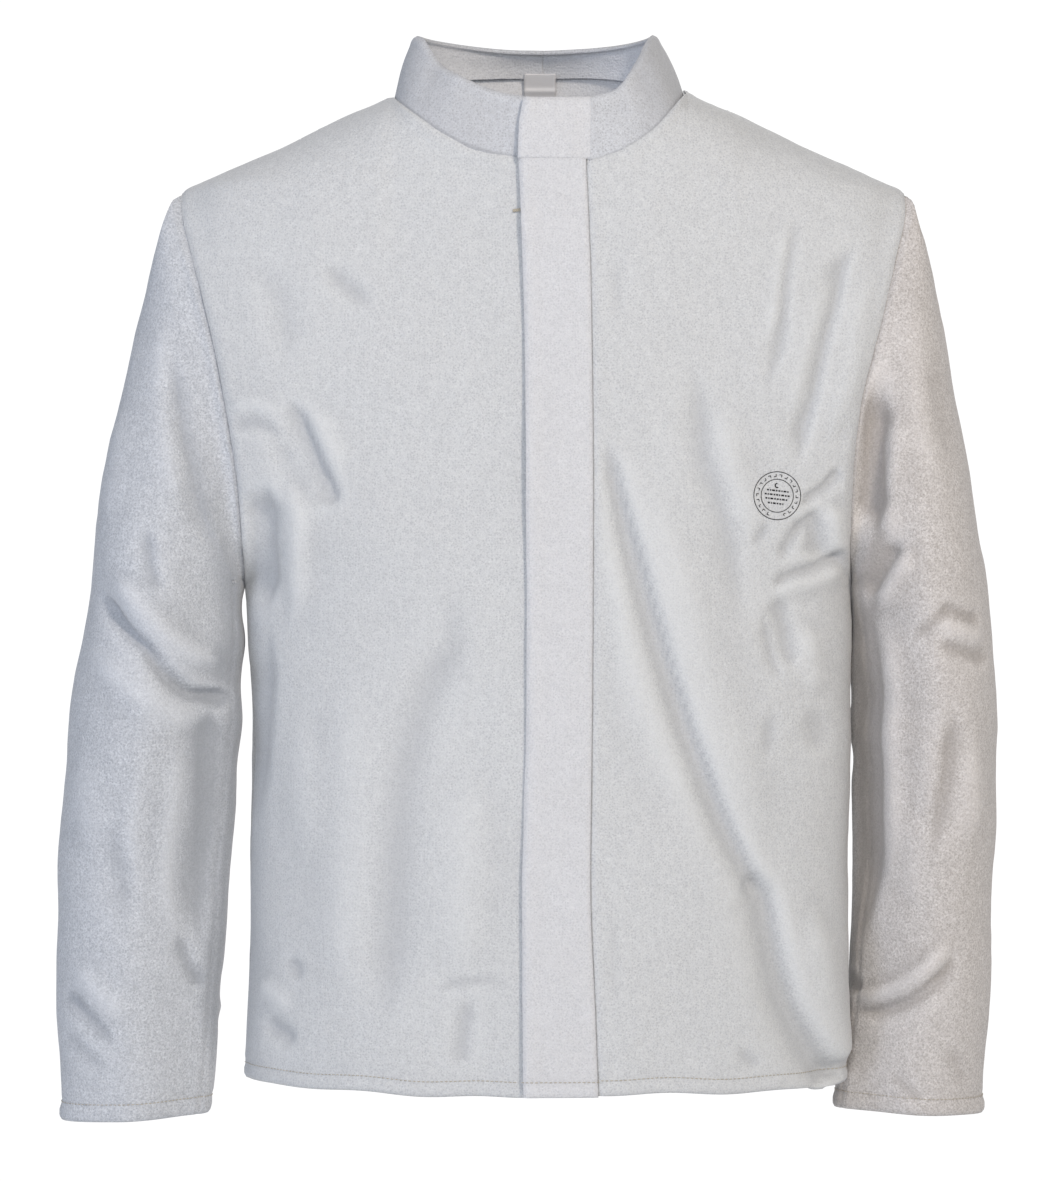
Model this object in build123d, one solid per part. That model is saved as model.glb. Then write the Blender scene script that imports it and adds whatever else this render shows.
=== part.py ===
"""Split-leather welding jacket with a stand-up collar and a concealed hook-and-loop fly front.

Frame: millimetres, +Z up, the front of the jacket faces -Y, the wearer's left is +X. The origin is
the centre of the neck opening, where the jacket rests on a neck or a hanger.

The jacket stands as it does on a body. Its walls are layers of one torso form, one collar form and
two sleeve forms. A layer is the space between two offsets of a form, so leather, lining, facing and
tape stack without touching the wrong neighbour. Offset 0 is the outside of the underlapping right
front; the left front and the fly band lie over it.
"""
import math
import os

from build123d import *

# ---------------------------------------------------------------- driving dimensions
LEATHER = 1.4  # thickness of the split leather
BODY_LENGTH = 718.0  # neck centre down to the hem
HALF_HEM = 223.0
HALF_WAIST = 219.0
HALF_CHEST = 222.0  # at the armpit
HEM_FRONT_DEPTH = 122.0
HEM_BACK_DEPTH = 112.0
BLADE_DEPTH = 118.0  # back depth at the shoulder blades

SHOULDER_HALF = 266.0  # centre line to the shoulder point
SHOULDER_DROP = 62.0
ARMPIT_DROP = 350.0
ARMHOLE_HALF_DEPTH = 60.0  # half the armhole's width, front to back

NECK_HALF = 108.0  # half the collar's width at its seam
NECK_FRONT_DEPTH = 88.0
NECK_BACK_DEPTH = 88.0
NECK_FRONT_DROP = 44.0
NECK_SIDE_RISE = 12.0
NECK_BACK_RISE = 38.0
COLLAR_FRONT_HEIGHT = 46.0
COLLAR_SIDE_HEIGHT = 43.0
COLLAR_BACK_HEIGHT = 17.0  # upright height; the collar leans forward here
COLLAR_LEAN = 20.0  # how far the collar's sides lean in

SLEEVE_DROP = 742.0  # neck centre down to the cuff's edge
SLEEVE_CLEARANCE = 6.0  # sleeve to the side of the body, below the armpit
SLEEVE_OUT = 84.0  # how far the sleeve's outer edge stands past the shoulder point at the elbow
UPPER_ARM_HALF_DEPTH = 86.0
ELBOW_HALF_DEPTH = 78.0
CUFF_HALF_DEPTH = 46.0
CUFF_WIDTH = 106.0
ARMHOLE_GAP = 1.0  # body to sleeve, across the armhole seam

FLY_EDGE_X = -17.0  # the free edge of the fly band, over the right front
FLY_SEAM_X = 40.0  # the seam that joins the fly band to the left front
UNDERLAP_EDGE_X = 32.0  # the right front's edge, under the band
FACING_WIDTH = 45.0
HINGE_GAP = 0.6  # between the fly band and the left front
HEM_TURN = 18.0  # height of the turned-up hem and cuffs
STITCH_RISE = 11.0  # the hem stitching's height over the edge
THREAD_WIDTH = 0.8
THREAD_HEIGHT = 0.5

LOOP_TAPE = 1.0  # thickness of the loop tape, on the right front
HOOK_TAPE = 0.8
TAPE_GAP = 0.4  # between the two tapes
TAPE_LEFT_X = -8.0
TAPE_WIDTH = 25.0
TAPE_LENGTH = 50.0
TAPE_COUNT = 5
TAPE_FIRST_DROP = 72.0  # neck centre to the top of the first pair
TAPE_LAST_RISE = 60.0  # hem to the bottom of the last pair

FOLD_NECK_X = 80.0  # the fold line that each front swings about, at the neck
FOLD_HEM_X = 175.0
FOLD_NECK_Y = -82.0
FOLD_HEM_Y = -86.0
FOLD_GAP = 8.0  # slot along the fold line, so that the swinging part clears the fixed one
FLY_PIVOT_LEAD = 1.2  # the fly band's hinge line stands this far in front of the band

LABEL_WIDTH = 24.0
LABEL_LENGTH = 40.0
LABEL_THICKNESS = 0.8
STAY_TAPE_WIDTH = 16.0

# ---------------------------------------------------------------- sizes that follow
hem_z = -BODY_LENGTH
armpit_z = -ARMPIT_DROP
shoulder_z = -SHOULDER_DROP
cuff_z = -SLEEVE_DROP
neck_front_z = -NECK_FRONT_DROP
neck_side_z = NECK_SIDE_RISE
neck_back_z = NECK_BACK_RISE

# Offsets of each layer from the outside of the right front.
SKIN = (-LEATHER, 0.0)
FACING = (-2 * LEATHER, -LEATHER)
LOOP = (0.0, LOOP_TAPE)
HOOK = (LOOP_TAPE + TAPE_GAP, LOOP_TAPE + TAPE_GAP + HOOK_TAPE)
LEFT_FACING = (HOOK[1], HOOK[1] + LEATHER)
LEFT_SKIN = (LEFT_FACING[1], LEFT_FACING[1] + LEATHER)

FAR = 900.0  # reaches past everything
HIGH = 120.0  # a level over the collar
SEAM_NUDGE = 0.5  # the torso form stands this far outside the collar form at their seam
SKIRT = 40.0  # the forms run this far past the hem and cuffs before they are trimmed


def between(z, low, high):
    """The value at height z on the straight line from low to high, each a (z, value) pair."""
    share = (z - low[0]) / (high[0] - low[0])
    return low[1] + share * (high[1] - low[1])


def front_depth(z):
    """The front falls straight from the neck to the hem, so that the fly band's hinge is a line."""
    return between(z, (hem_z, HEM_FRONT_DEPTH), (neck_front_z, NECK_FRONT_DEPTH + SEAM_NUDGE))


def back_depth(z):
    blade_z = (shoulder_z + armpit_z) / 2
    if z < blade_z:
        return between(z, (hem_z, HEM_BACK_DEPTH), (blade_z, BLADE_DEPTH))
    return between(z, (blade_z, BLADE_DEPTH), (neck_side_z, NECK_BACK_DEPTH + 12))


def armhole_x(z):
    return between(z, (armpit_z, HALF_CHEST), (shoulder_z, SHOULDER_HALF))


def shoulder_line_x(z):
    return between(z, (shoulder_z, SHOULDER_HALF), (neck_side_z, NECK_HALF + SEAM_NUDGE))


def fold_x(z):
    return between(z, (hem_z, FOLD_HEM_X), (neck_side_z, FOLD_NECK_X))


# ---------------------------------------------------------------- forms
def form(stations, grow):
    """A solid through level sections, each a front and a back half-ellipse, grown by an offset.

    A station is (z, centre x, half width, front depth, back depth). Growing also lifts the
    sections, which keeps a layer's thickness where the form slopes, as on the shoulders.
    """
    faces = []
    for z, x, half, front, back in stations:
        at = Plane((x, 0, z + grow))
        width = half + grow
        near = EllipticalCenterArc((0, 0), width, front + grow, start_angle=180, arc_size=180)
        far = EllipticalCenterArc((0, 0), width, back + grow, start_angle=0, arc_size=180)
        faces.append(at * make_face([near, far]))
    return loft(faces, ruled=True)


def torso_stations():
    stations = [
        (hem_z - SKIRT, 0, HALF_HEM, HEM_FRONT_DEPTH, HEM_BACK_DEPTH),
        (hem_z, 0, HALF_HEM, HEM_FRONT_DEPTH, HEM_BACK_DEPTH),
    ]
    waist_z = (hem_z + armpit_z) / 2
    stations.append((waist_z, 0, HALF_WAIST, front_depth(waist_z), back_depth(waist_z)))
    for share in (0.0, 0.15, 0.35, 0.6, 0.8, 0.93, 1.0):
        # Wide enough that the armhole's plane cuts an opening of the wanted width out of it.
        z = armpit_z + share * (shoulder_z - armpit_z)
        opening = ARMHOLE_HALF_DEPTH * math.sin(math.pi * share) ** 0.6 if 0 < share < 1 else 0
        half = armhole_x(z) / math.sqrt(1 - (opening / front_depth(z)) ** 2)
        stations.append((z, 0, half, front_depth(z), back_depth(z)))
    half = shoulder_line_x(neck_front_z)
    stations.append((neck_front_z, 0, half, front_depth(neck_front_z), back_depth(neck_front_z)))
    # From here up only the shoulders lie outside the collar form; the rest closes inside it.
    half = NECK_HALF + SEAM_NUDGE
    stations.append((neck_side_z, 0, half, NECK_FRONT_DEPTH * 0.7, NECK_BACK_DEPTH + 12))
    back = NECK_BACK_DEPTH + SEAM_NUDGE
    stations.append((neck_back_z, 0, NECK_HALF * 0.65, NECK_FRONT_DEPTH * 0.5, back))
    stations.append((neck_back_z + 8, 0, NECK_HALF * 0.45, NECK_FRONT_DEPTH * 0.4, back - 18))
    return stations


def collar_stations():
    """Widest at the neck seam, which is low in front, higher at the sides and highest behind."""
    side_top = NECK_HALF - COLLAR_LEAN
    top_z = neck_side_z + COLLAR_SIDE_HEIGHT
    front, back = NECK_FRONT_DEPTH, NECK_BACK_DEPTH
    return [
        (neck_front_z - 22, 0, NECK_HALF * 0.65, front * 0.8, back * 0.68),
        (neck_front_z, 0, NECK_HALF * 0.85, front, back * 0.77),
        (neck_side_z, 0, NECK_HALF, front - 6.5, back - 6),
        (neck_back_z, 0, NECK_HALF - COLLAR_LEAN * 0.6, front - 9, back),
        (top_z, 0, side_top, front - 11, back - 22),
        (top_z + 16, 0, side_top - 8, front - 13, back - 43),
    ]


def sleeve_stations(side):
    """Level sections down the arm, on the wearer's left for side 1 and right for side -1."""
    body = HALF_CHEST + SLEEVE_CLEARANCE
    inside = HALF_CHEST - 20  # above the armpit the form runs into the body, and is cut off there
    elbow_z = between(0.45, (0, armpit_z), (1, cuff_z))
    cuff_outer = body + 8 + CUFF_WIDTH
    table = [
        # z, inner edge, outer edge, half depth
        (shoulder_z - 2, SHOULDER_HALF - 12, SHOULDER_HALF + 4, 22),
        (shoulder_z - 21, inside, SHOULDER_HALF + 14, ARMHOLE_HALF_DEPTH * 0.7),
        (shoulder_z - 65, inside, SHOULDER_HALF + 26, ARMHOLE_HALF_DEPTH),
        (shoulder_z - 154, inside + 3, SHOULDER_HALF + 46, UPPER_ARM_HALF_DEPTH * 0.84),
        (armpit_z + 50, inside + 14, SHOULDER_HALF + 59, UPPER_ARM_HALF_DEPTH * 0.95),
        (armpit_z, body, SHOULDER_HALF + 65, UPPER_ARM_HALF_DEPTH),
        (elbow_z, body + 1, SHOULDER_HALF + SLEEVE_OUT, ELBOW_HALF_DEPTH),
        (cuff_z, body + 8, cuff_outer, CUFF_HALF_DEPTH),
        (cuff_z - SKIRT, body + 8, cuff_outer, CUFF_HALF_DEPTH),
    ]
    table.reverse()
    return [
        (z, side * (inner + outer) / 2, (outer - inner) / 2, depth, depth)
        for z, inner, outer, depth in table
    ]


forms = {}


def form_of(name, grow):
    """Each offset form is made once, because many layers share them."""
    key = (name, round(grow, 6))
    if key not in forms:
        makers = {
            "torso": torso_stations,
            "collar": collar_stations,
            "left": lambda: sleeve_stations(1),
            "right": lambda: sleeve_stations(-1),
        }
        forms[key] = form(makers[name](), grow)
    return forms[key]


# ---------------------------------------------------------------- cutting shapes
def prism(outline, low_y=-FAR, high_y=FAR):
    """A block along Y whose outline is (x, z) points."""
    face = make_face(Polyline(*[(x, low_y, z) for x, z in outline], close=True))
    return extrude(face, amount=high_y - low_y, dir=(0, 1, 0))


def slab(low_z, high_z):
    return prism([(-FAR, low_z), (FAR, low_z), (FAR, high_z), (-FAR, high_z)])


def column(low_x, high_x, low_z=-FAR, high_z=HIGH, low_y=-FAR, high_y=0.0):
    """An upright block, by default over the front; its sides may lean, as functions of z."""
    def at(x, z):
        return x(z) if callable(x) else x
    outline = [(at(low_x, low_z), low_z), (at(high_x, low_z), low_z),
               (at(high_x, high_z), high_z), (at(low_x, high_z), high_z)]
    return prism(outline, low_y, high_y)


def armhole_cut(side, gap):
    """Everything outboard of the armhole's plane, above the armpit; gap moves the plane inboard."""
    top_z = 2 * abs(shoulder_z)
    outline = [(side * (armhole_x(z) - gap), z) for z in (armpit_z, top_z)]
    outline += [(side * FAR, top_z), (side * FAR, armpit_z)]
    return prism(outline)


def inboard_cut(side):
    """Everything inboard of the armhole's plane, above the armpit."""
    top_z = 2 * abs(shoulder_z)
    outline = [(side * armhole_x(z), z) for z in (armpit_z, top_z)]
    outline += [(-side * FAR, top_z), (-side * FAR, armpit_z)]
    return prism(outline)


def above_collar():
    """Everything above the collar's top edge, which dips in front."""
    front_y, back_y = -(NECK_FRONT_DEPTH - 11), NECK_BACK_DEPTH - 22
    side_top_z = neck_side_z + COLLAR_SIDE_HEIGHT
    front_top_z = neck_front_z + COLLAR_FRONT_HEIGHT
    back_top_z = neck_back_z + COLLAR_BACK_HEIGHT
    edge = Spline(
        (0, front_y, front_top_z),
        (0, front_y * 0.5, between(0.55, (0, front_top_z), (1, side_top_z))),
        (0, 0, side_top_z),
        (0, back_y, back_top_z),
    )
    lid = Polyline(
        (0, back_y, back_top_z), (0, FAR, back_top_z), (0, FAR, FAR), (0, -FAR, FAR),
        (0, -FAR, front_top_z), (0, front_y, front_top_z),
    )
    face = make_face([edge, lid])
    return extrude(face, amount=FAR, dir=(1, 0, 0), both=True)


# ---------------------------------------------------------------- layers
def torso_layer(layer):
    """A layer of the body, open at the neck, the hem and the armholes."""
    low, high = layer
    shell = form_of("torso", high) - form_of("torso", low) - form_of("collar", high)
    shell = shell & slab(hem_z, FAR)
    for side in (1, -1):
        shell = shell - armhole_cut(side, ARMHOLE_GAP)
    return shell


def collar_layer(layer, lies_on):
    """A layer of the collar, standing on the body's offset lies_on."""
    low, high = layer
    return form_of("collar", high) - form_of("collar", low) - form_of("torso", lies_on) - above_collar()


def sleeve_layer(name, side, layer):
    low, high = layer
    shell = form_of(name, high) - form_of(name, low)
    return (shell & slab(cuff_z, FAR)) - inboard_cut(side)


# ---------------------------------------------------------------- zones of the body
def left_fold_inner(z):
    return fold_x(z) - FOLD_GAP / 2


def left_fold_outer(z):
    return fold_x(z) + FOLD_GAP / 2


def right_fold_inner(z):
    return -left_fold_inner(z)


def right_fold_outer(z):
    return -left_fold_outer(z)


left_zone = column(FLY_SEAM_X + HINGE_GAP / 2, left_fold_inner)
right_zone = column(right_fold_inner, UNDERLAP_EDGE_X)
fly_zone = column(FLY_EDGE_X, FLY_SEAM_X - HINGE_GAP / 2)
left_side_zone = column(left_fold_outer, FAR)
right_side_zone = column(-FAR, right_fold_outer)
back_zone = column(-FAR, FAR, low_y=0.0, high_y=FAR)
turned_hem = slab(hem_z, hem_z + HEM_TURN)
stitch_line = slab(hem_z + STITCH_RISE, hem_z + STITCH_RISE + THREAD_WIDTH)

outer_skin = torso_layer(SKIN)
inner_skin = torso_layer(FACING)
left_outer_skin = torso_layer(LEFT_SKIN)
left_inner_skin = torso_layer(LEFT_FACING)


def panel(skin, lining, zone):
    """A leather panel with its hem turned up on the inside."""
    return (skin & zone) + (lining & zone & turned_hem)


def body_panels():
    return {
        "back_panel": panel(outer_skin, inner_skin, back_zone),
        "left_front_side": panel(outer_skin, inner_skin, left_side_zone),
        "right_front_side": panel(outer_skin, inner_skin, right_side_zone),
        "right_front_panel": panel(outer_skin, inner_skin, right_zone),
        "left_front_panel": panel(left_outer_skin, left_inner_skin, left_zone),
    }


def facings():
    """The leather strips that back the two front edges, above the turned-up hem."""
    over_hem = slab(hem_z + HEM_TURN, FAR)
    left_strip = column(FLY_SEAM_X + HINGE_GAP / 2, FLY_SEAM_X + FACING_WIDTH) & left_zone
    right_strip = column(UNDERLAP_EDGE_X - FACING_WIDTH, UNDERLAP_EDGE_X)
    return {
        "left_front_facing": left_inner_skin & left_strip & over_hem,
        "right_front_facing": inner_skin & right_strip & over_hem,
    }


def fly_band():
    return {
        "fly_band": left_outer_skin & fly_zone,
        "fly_band_lining": left_inner_skin & fly_zone,
    }


def tape_heights():
    """The low ends of the tape pairs, evenly spaced down the front."""
    top = -TAPE_FIRST_DROP - TAPE_LENGTH
    bottom = hem_z + TAPE_LAST_RISE
    step = (top - bottom) / (TAPE_COUNT - 1)
    return [bottom + step * i for i in range(TAPE_COUNT)]


def tapes():
    hook, loop = torso_layer(HOOK), torso_layer(LOOP)
    places = [column(TAPE_LEFT_X, TAPE_LEFT_X + TAPE_WIDTH, z, z + TAPE_LENGTH) for z in tape_heights()]
    collar_low = neck_front_z + 8
    collar_place = column(TAPE_LEFT_X, TAPE_LEFT_X + TAPE_WIDTH, collar_low, collar_low + TAPE_WIDTH)
    return {
        "fly_hook_tapes": Compound([hook & place for place in places]),
        "fly_loop_tapes": Compound([loop & place for place in places]),
        "collar_hook_tape": collar_layer(HOOK, LEFT_SKIN[1]) & collar_place,
        "collar_loop_tape": collar_layer(LOOP, LEFT_SKIN[1]) & collar_place,
    }


def collar():
    """Outer collar and lining, each in a back part, two front ends and the tab over the fly."""
    skin = collar_layer(SKIN, SKIN[1])
    lining = collar_layer(FACING, SKIN[1])
    left_skin = collar_layer(LEFT_SKIN, LEFT_SKIN[1])
    left_lining = collar_layer(LEFT_FACING, LEFT_SKIN[1])
    front_zone = column(right_fold_outer, left_fold_outer)
    return {
        "collar_outer_back": skin - front_zone,
        "collar_lining_back": lining - front_zone,
        "collar_outer_right": skin & right_zone,
        "collar_lining_right": lining & right_zone,
        "collar_outer_left": left_skin & left_zone,
        "collar_lining_left": left_lining & left_zone,
        "collar_tab_outer": left_skin & fly_zone,
        "collar_tab_lining": left_lining & fly_zone,
    }


def hem_stitching():
    """The thread that holds the turned-up hem, as a low ridge on each panel."""
    thread = torso_layer((0.0, THREAD_HEIGHT)) & stitch_line
    left_thread = torso_layer((LEFT_SKIN[1], LEFT_SKIN[1] + THREAD_HEIGHT)) & stitch_line
    return {
        "hem_thread_back": thread & (back_zone + left_side_zone + right_side_zone),
        "hem_thread_right": thread & column(right_fold_inner, FLY_EDGE_X),
        "hem_thread_left": left_thread & left_zone,
        "hem_thread_fly": left_thread & fly_zone,
    }


def sleeves():
    made = {}
    cuff_turn = slab(cuff_z, cuff_z + HEM_TURN)
    cuff_line = slab(cuff_z + STITCH_RISE, cuff_z + STITCH_RISE + THREAD_WIDTH)
    for name, side in (("left", 1), ("right", -1)):
        skin = sleeve_layer(name, side, SKIN)
        made[f"{name}_sleeve"] = skin
        made[f"{name}_cuff_facing"] = sleeve_layer(name, side, FACING) & cuff_turn
        made[f"{name}_cuff_thread"] = sleeve_layer(name, side, (0.0, THREAD_HEIGHT)) & cuff_line
    return made


def shoulder_tapes():
    """The stay tapes sewn inside the shoulder seams, so that they don't stretch."""
    made = {}
    for name, side in (("left", 1), ("right", -1)):
        ends = sorted((side * (NECK_HALF + 12), side * (SHOULDER_HALF - 12)))
        half = STAY_TAPE_WIDTH / 2
        place = column(ends[0], ends[1], shoulder_z - 20, neck_side_z + 20, -half, half)
        made[f"{name}_shoulder_tape"] = inner_skin & place
    return made


def size_label():
    """A woven label that hangs from the neck seam, against the inside of the back."""
    top_z = neck_back_z - 3
    half = LABEL_WIDTH / 2
    place = column(-half, half, top_z - LABEL_LENGTH, top_z, 0.0, FAR)
    return {"size_label": torso_layer((-LEATHER - LABEL_THICKNESS, -LEATHER)) & place}


# ---------------------------------------------------------------- hinge lines
def front_y(x, z, half, grow):
    """Where the front of a torso section of this half width lies, at a distance x off centre."""
    return -(front_depth(z) + grow) * math.sqrt(1 - (x / (half + grow)) ** 2)


def hinge_lines():
    """The two ends of each line that a moving part turns about, upper end first."""
    lead = LEFT_SKIN[1] + FLY_PIVOT_LEAD
    collar_half = shoulder_line_x(neck_front_z)
    fly_top_y = front_y(FLY_SEAM_X, neck_front_z, collar_half, lead)
    fly_low_y = front_y(FLY_SEAM_X, hem_z, HALF_HEM, lead)
    return {
        "left_front_swing": ((FOLD_NECK_X, FOLD_NECK_Y, neck_side_z), (FOLD_HEM_X, FOLD_HEM_Y, hem_z)),
        "right_front_swing": ((-FOLD_NECK_X, FOLD_NECK_Y, neck_side_z), (-FOLD_HEM_X, FOLD_HEM_Y, hem_z)),
        "fly_flap_turn": ((FLY_SEAM_X, fly_top_y, neck_front_z), (FLY_SEAM_X, fly_low_y, hem_z)),
        "left_sleeve_lift": ((SHOULDER_HALF, 50, shoulder_z), (SHOULDER_HALF, -50, shoulder_z)),
        "right_sleeve_lift": ((-SHOULDER_HALF, 50, shoulder_z), (-SHOULDER_HALF, -50, shoulder_z)),
    }


# ---------------------------------------------------------------- build
def main():
    os.makedirs("parts", exist_ok=True)
    nodes = {}
    for group in (body_panels, facings, fly_band, tapes, collar, hem_stitching, sleeves,
                  shoulder_tapes, size_label):
        nodes.update(group())
    for name, shape in nodes.items():
        export_step(shape, f"parts/{name}.step")
    for name, (upper, lower) in hinge_lines().items():
        print(name, [round(v, 2) for v in upper], [round(v, 2) for v in lower])


main()
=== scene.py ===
"""Split-leather welding jacket with a stand-up collar and a concealed fly front.

Lengths in this file are millimetres in the jacket's frame until a mesh is made: +Z up, the front
faces -Y, the wearer's left is +X, and the origin is the centre of the neck opening. Every leather
piece is a grid of points across the piece and up it, which then gets its thickness.
"""
import math

import bpy
import numpy as np
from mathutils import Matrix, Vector
from mathutils.bvhtree import BVHTree


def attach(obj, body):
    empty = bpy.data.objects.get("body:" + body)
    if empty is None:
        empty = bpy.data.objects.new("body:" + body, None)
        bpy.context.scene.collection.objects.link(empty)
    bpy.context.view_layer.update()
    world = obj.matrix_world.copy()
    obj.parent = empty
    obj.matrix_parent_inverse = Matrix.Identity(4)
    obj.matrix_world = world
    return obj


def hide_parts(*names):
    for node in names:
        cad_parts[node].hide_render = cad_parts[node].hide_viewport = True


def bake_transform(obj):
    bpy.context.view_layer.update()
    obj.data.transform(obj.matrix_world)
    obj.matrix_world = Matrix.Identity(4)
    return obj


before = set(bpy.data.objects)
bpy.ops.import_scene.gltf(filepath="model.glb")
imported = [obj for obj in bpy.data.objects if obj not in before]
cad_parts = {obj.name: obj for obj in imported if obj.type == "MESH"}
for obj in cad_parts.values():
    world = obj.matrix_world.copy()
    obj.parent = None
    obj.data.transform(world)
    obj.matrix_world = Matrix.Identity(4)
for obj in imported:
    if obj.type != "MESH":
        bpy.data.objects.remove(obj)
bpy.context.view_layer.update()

MM = 0.001
LEFT, RIGHT = 1, -1  # the wearer's left is +X
WORD = {LEFT: "left", RIGHT: "right"}

# ---------------------------------------------------------------- sizes
HEM_Z = -717.0
CUFF_Z = -745.0
ARMPIT_Z = -350.0
SHOULDER_X, SHOULDER_Z = 266.0, -62.0
LEATHER = 1.4
TWO_LAYERS = 2.9
HEM_TURN = 18.0
HEM_STITCH = 11.0
CUFF_STITCH = 13.0
LAPEL_LIFT = 4.4  # the left front's height over the right one, at the fly
BAND_LIFT = 2.2  # the underside of the fly band over the right front
STITCH_PITCH = 3.3
FOLD_DEPTH = 1.9  # scales every worn-in fold
TAPE_EDGES = (-8.0, 17.0)  # the closing tapes, across
TAPE_LENGTH, TAPE_STEP, HIGHEST_TAPE_Z = 50.0, 121.5, -122.0
STITCH_LENGTH, THREAD_RADIUS = 2.5, 0.32
SLEEVE_UNDER = 3.0  # how far a sleeve's first rows pass under the body's edge


# ---------------------------------------------------------------- small maths
def through(*points):
    """A curve through (position, value) pairs that never overshoots them."""
    xs = np.array([p[0] for p in points], float)
    ys = np.array([p[1] for p in points], float)
    order = np.argsort(xs)
    xs, ys = xs[order], ys[order]
    gaps = np.diff(xs)
    rises = np.diff(ys) / gaps
    slopes = np.zeros(len(xs))
    slopes[0], slopes[-1] = rises[0], rises[-1]
    for k in range(1, len(xs) - 1):
        if rises[k - 1] * rises[k] > 0:
            w1, w2 = 2 * gaps[k] + gaps[k - 1], gaps[k] + 2 * gaps[k - 1]
            slopes[k] = (w1 + w2) / (w1 / rises[k - 1] + w2 / rises[k])

    def curve(x):
        x = np.clip(x, xs[0], xs[-1])
        k = np.clip(np.searchsorted(xs, x, side="right") - 1, 0, len(gaps) - 1)
        h = gaps[k]
        t = (x - xs[k]) / h
        return (ys[k] * (1 + 2 * t) * (1 - t) ** 2 + slopes[k] * h * t * (1 - t) ** 2
                + ys[k + 1] * t * t * (3 - 2 * t) - slopes[k + 1] * h * t * t * (1 - t))
    return curve


def ease(low, high, x):
    """0 below low, 1 above high, and smooth between them."""
    t = np.clip((x - low) / (high - low), 0, 1)
    return t * t * (3 - 2 * t)


def bell(distance, width):
    """1 at no distance, falling smoothly to nothing over about twice width."""
    return np.exp(-(distance / width) ** 2)


def mix(a, b, share):
    return a + (b - a) * share


def drift(points, size, seed):
    """Smooth random values, about -1 to 1, that change over `size` millimetres."""
    p = np.asarray(points, float) / size + seed * 17.31
    cell = np.floor(p).astype(np.int64)
    t = p - cell
    t = t * t * (3 - 2 * t)
    total = np.zeros(p.shape[:-1])
    for corner in np.ndindex(2, 2, 2):
        c = cell + np.array(corner)
        code = (c[..., 0] * 73856093) ^ (c[..., 1] * 19349663) ^ (c[..., 2] * 83492791)
        code = (code ^ (seed * 2654435761)) & 0xFFFFFFFF
        code = ((code ^ (code >> 15)) * 2246822519) & 0xFFFFFFFF
        code = ((code ^ (code >> 13)) * 3266489917) & 0xFFFFFFFF
        value = ((code >> 8) & 0xFFFF) / 32767.5 - 1
        weight = np.ones(p.shape[:-1])
        for axis in range(3):
            weight = weight * (t[..., axis] if corner[axis] else 1 - t[..., axis])
        total += value * weight
    return total


def crease(x, z, path, width, height, lean=0.0, ends=(0.3, 0.3)):
    """How far a fold along path lifts the leather: height on its line, fading over width.

    lean makes one flank steeper; ends are the shares of the path over which it fades in and out.
    """
    pts = np.array(path, float)
    fine = []
    along = np.linspace(0, len(pts) - 1, 8 * len(pts))
    for axis in (0, 1):
        fine.append(through(*zip(range(len(pts)), pts[:, axis]))(along) if len(pts) > 2
                    else np.interp(along, range(len(pts)), pts[:, axis]))
    fx, fz = fine
    lengths = np.hypot(np.diff(fx), np.diff(fz))
    starts = np.concatenate([[0], np.cumsum(lengths)])
    best = np.full(x.shape, 1e9)
    side = np.zeros(x.shape)
    place = np.zeros(x.shape)
    for k, length in enumerate(lengths):
        dx, dz = (fx[k + 1] - fx[k]) / length, (fz[k + 1] - fz[k]) / length
        t = np.clip((x - fx[k]) * dx + (z - fz[k]) * dz, 0, length)
        ox, oz = x - fx[k] - t * dx, z - fz[k] - t * dz
        d = np.hypot(ox, oz)
        closer = d < best
        best = np.where(closer, d, best)
        side = np.where(closer, np.sign(ox * dz - oz * dx), side)
        place = np.where(closer, (starts[k] + t) / starts[-1], place)
    fade = ease(0, ends[0], place) * ease(0, ends[1], 1 - place)
    reach = width * (1 + lean * side) * (0.45 + 0.55 * fade)
    return height * np.exp(-(best / reach) ** 2) * fade


def folds(x, z, table):
    return FOLD_DEPTH * sum(crease(x, z, *entry) for entry in table)


# ---------------------------------------------------------------- the jacket's form
# Half the body's width at each level; over the armpit it is the form that the armhole cuts.
body_half = {
    LEFT: through((-760, 224), (-717, 224), (-640, 225), (-560, 226), (-450, 227), (-350, 227),
                  (-335, 232), (-318, 241), (-297, 249), (-247, 271), (-187, 292), (-127, 298),
                  (-95, 290), (-62, 267), (-48, 237), (-29, 192), (-9, 150), (10, 105), (38, 89),
                  (60, 78)),
    RIGHT: through((-760, 222), (-717, 222), (-640, 218), (-560, 216), (-480, 214), (-420, 216),
                   (-350, 221), (-335, 227), (-318, 237), (-297, 246), (-247, 269), (-187, 291),
                   (-127, 298), (-95, 290), (-62, 267), (-48, 236), (-29, 192), (-10, 151),
                   (9, 112), (38, 93), (60, 80)),
}
armhole = {
    LEFT: through((-350, 227), (-320, 225), (-275, 226), (-230, 230), (-156, 248), (-110, 259),
                  (-79, 266), (-62, 267)),
    RIGHT: through((-350, 221), (-290, 223), (-216, 233), (-142, 249), (-110, 258), (-75, 266),
                   (-62, 267)),
}
neck_side = {LEFT: (105.0, 10.0), RIGHT: (111.0, 8.0)}
front_neck = {
    LEFT: through((0, -47), (20, -47), (34, -46.5), (55, -39.5), (79, -24), (93, -8), (101, 3), (105, 10)),
    RIGHT: through((0, -45), (20, -43.5), (52, -36), (81, -20), (98, -6.5), (106.5, 1.5), (111, 8)),
}
back_neck = {
    LEFT: through((0, 36), (30, 35), (60, 31), (83, 23), (97, 16), (105, 10)),
    RIGHT: through((0, 36), (30, 35), (60, 31), (87, 22), (102, 13), (111, 8)),
}
front_depth = through((-760, 122), (-717, 121.5), (-44, 88.5), (60, 84))
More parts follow.
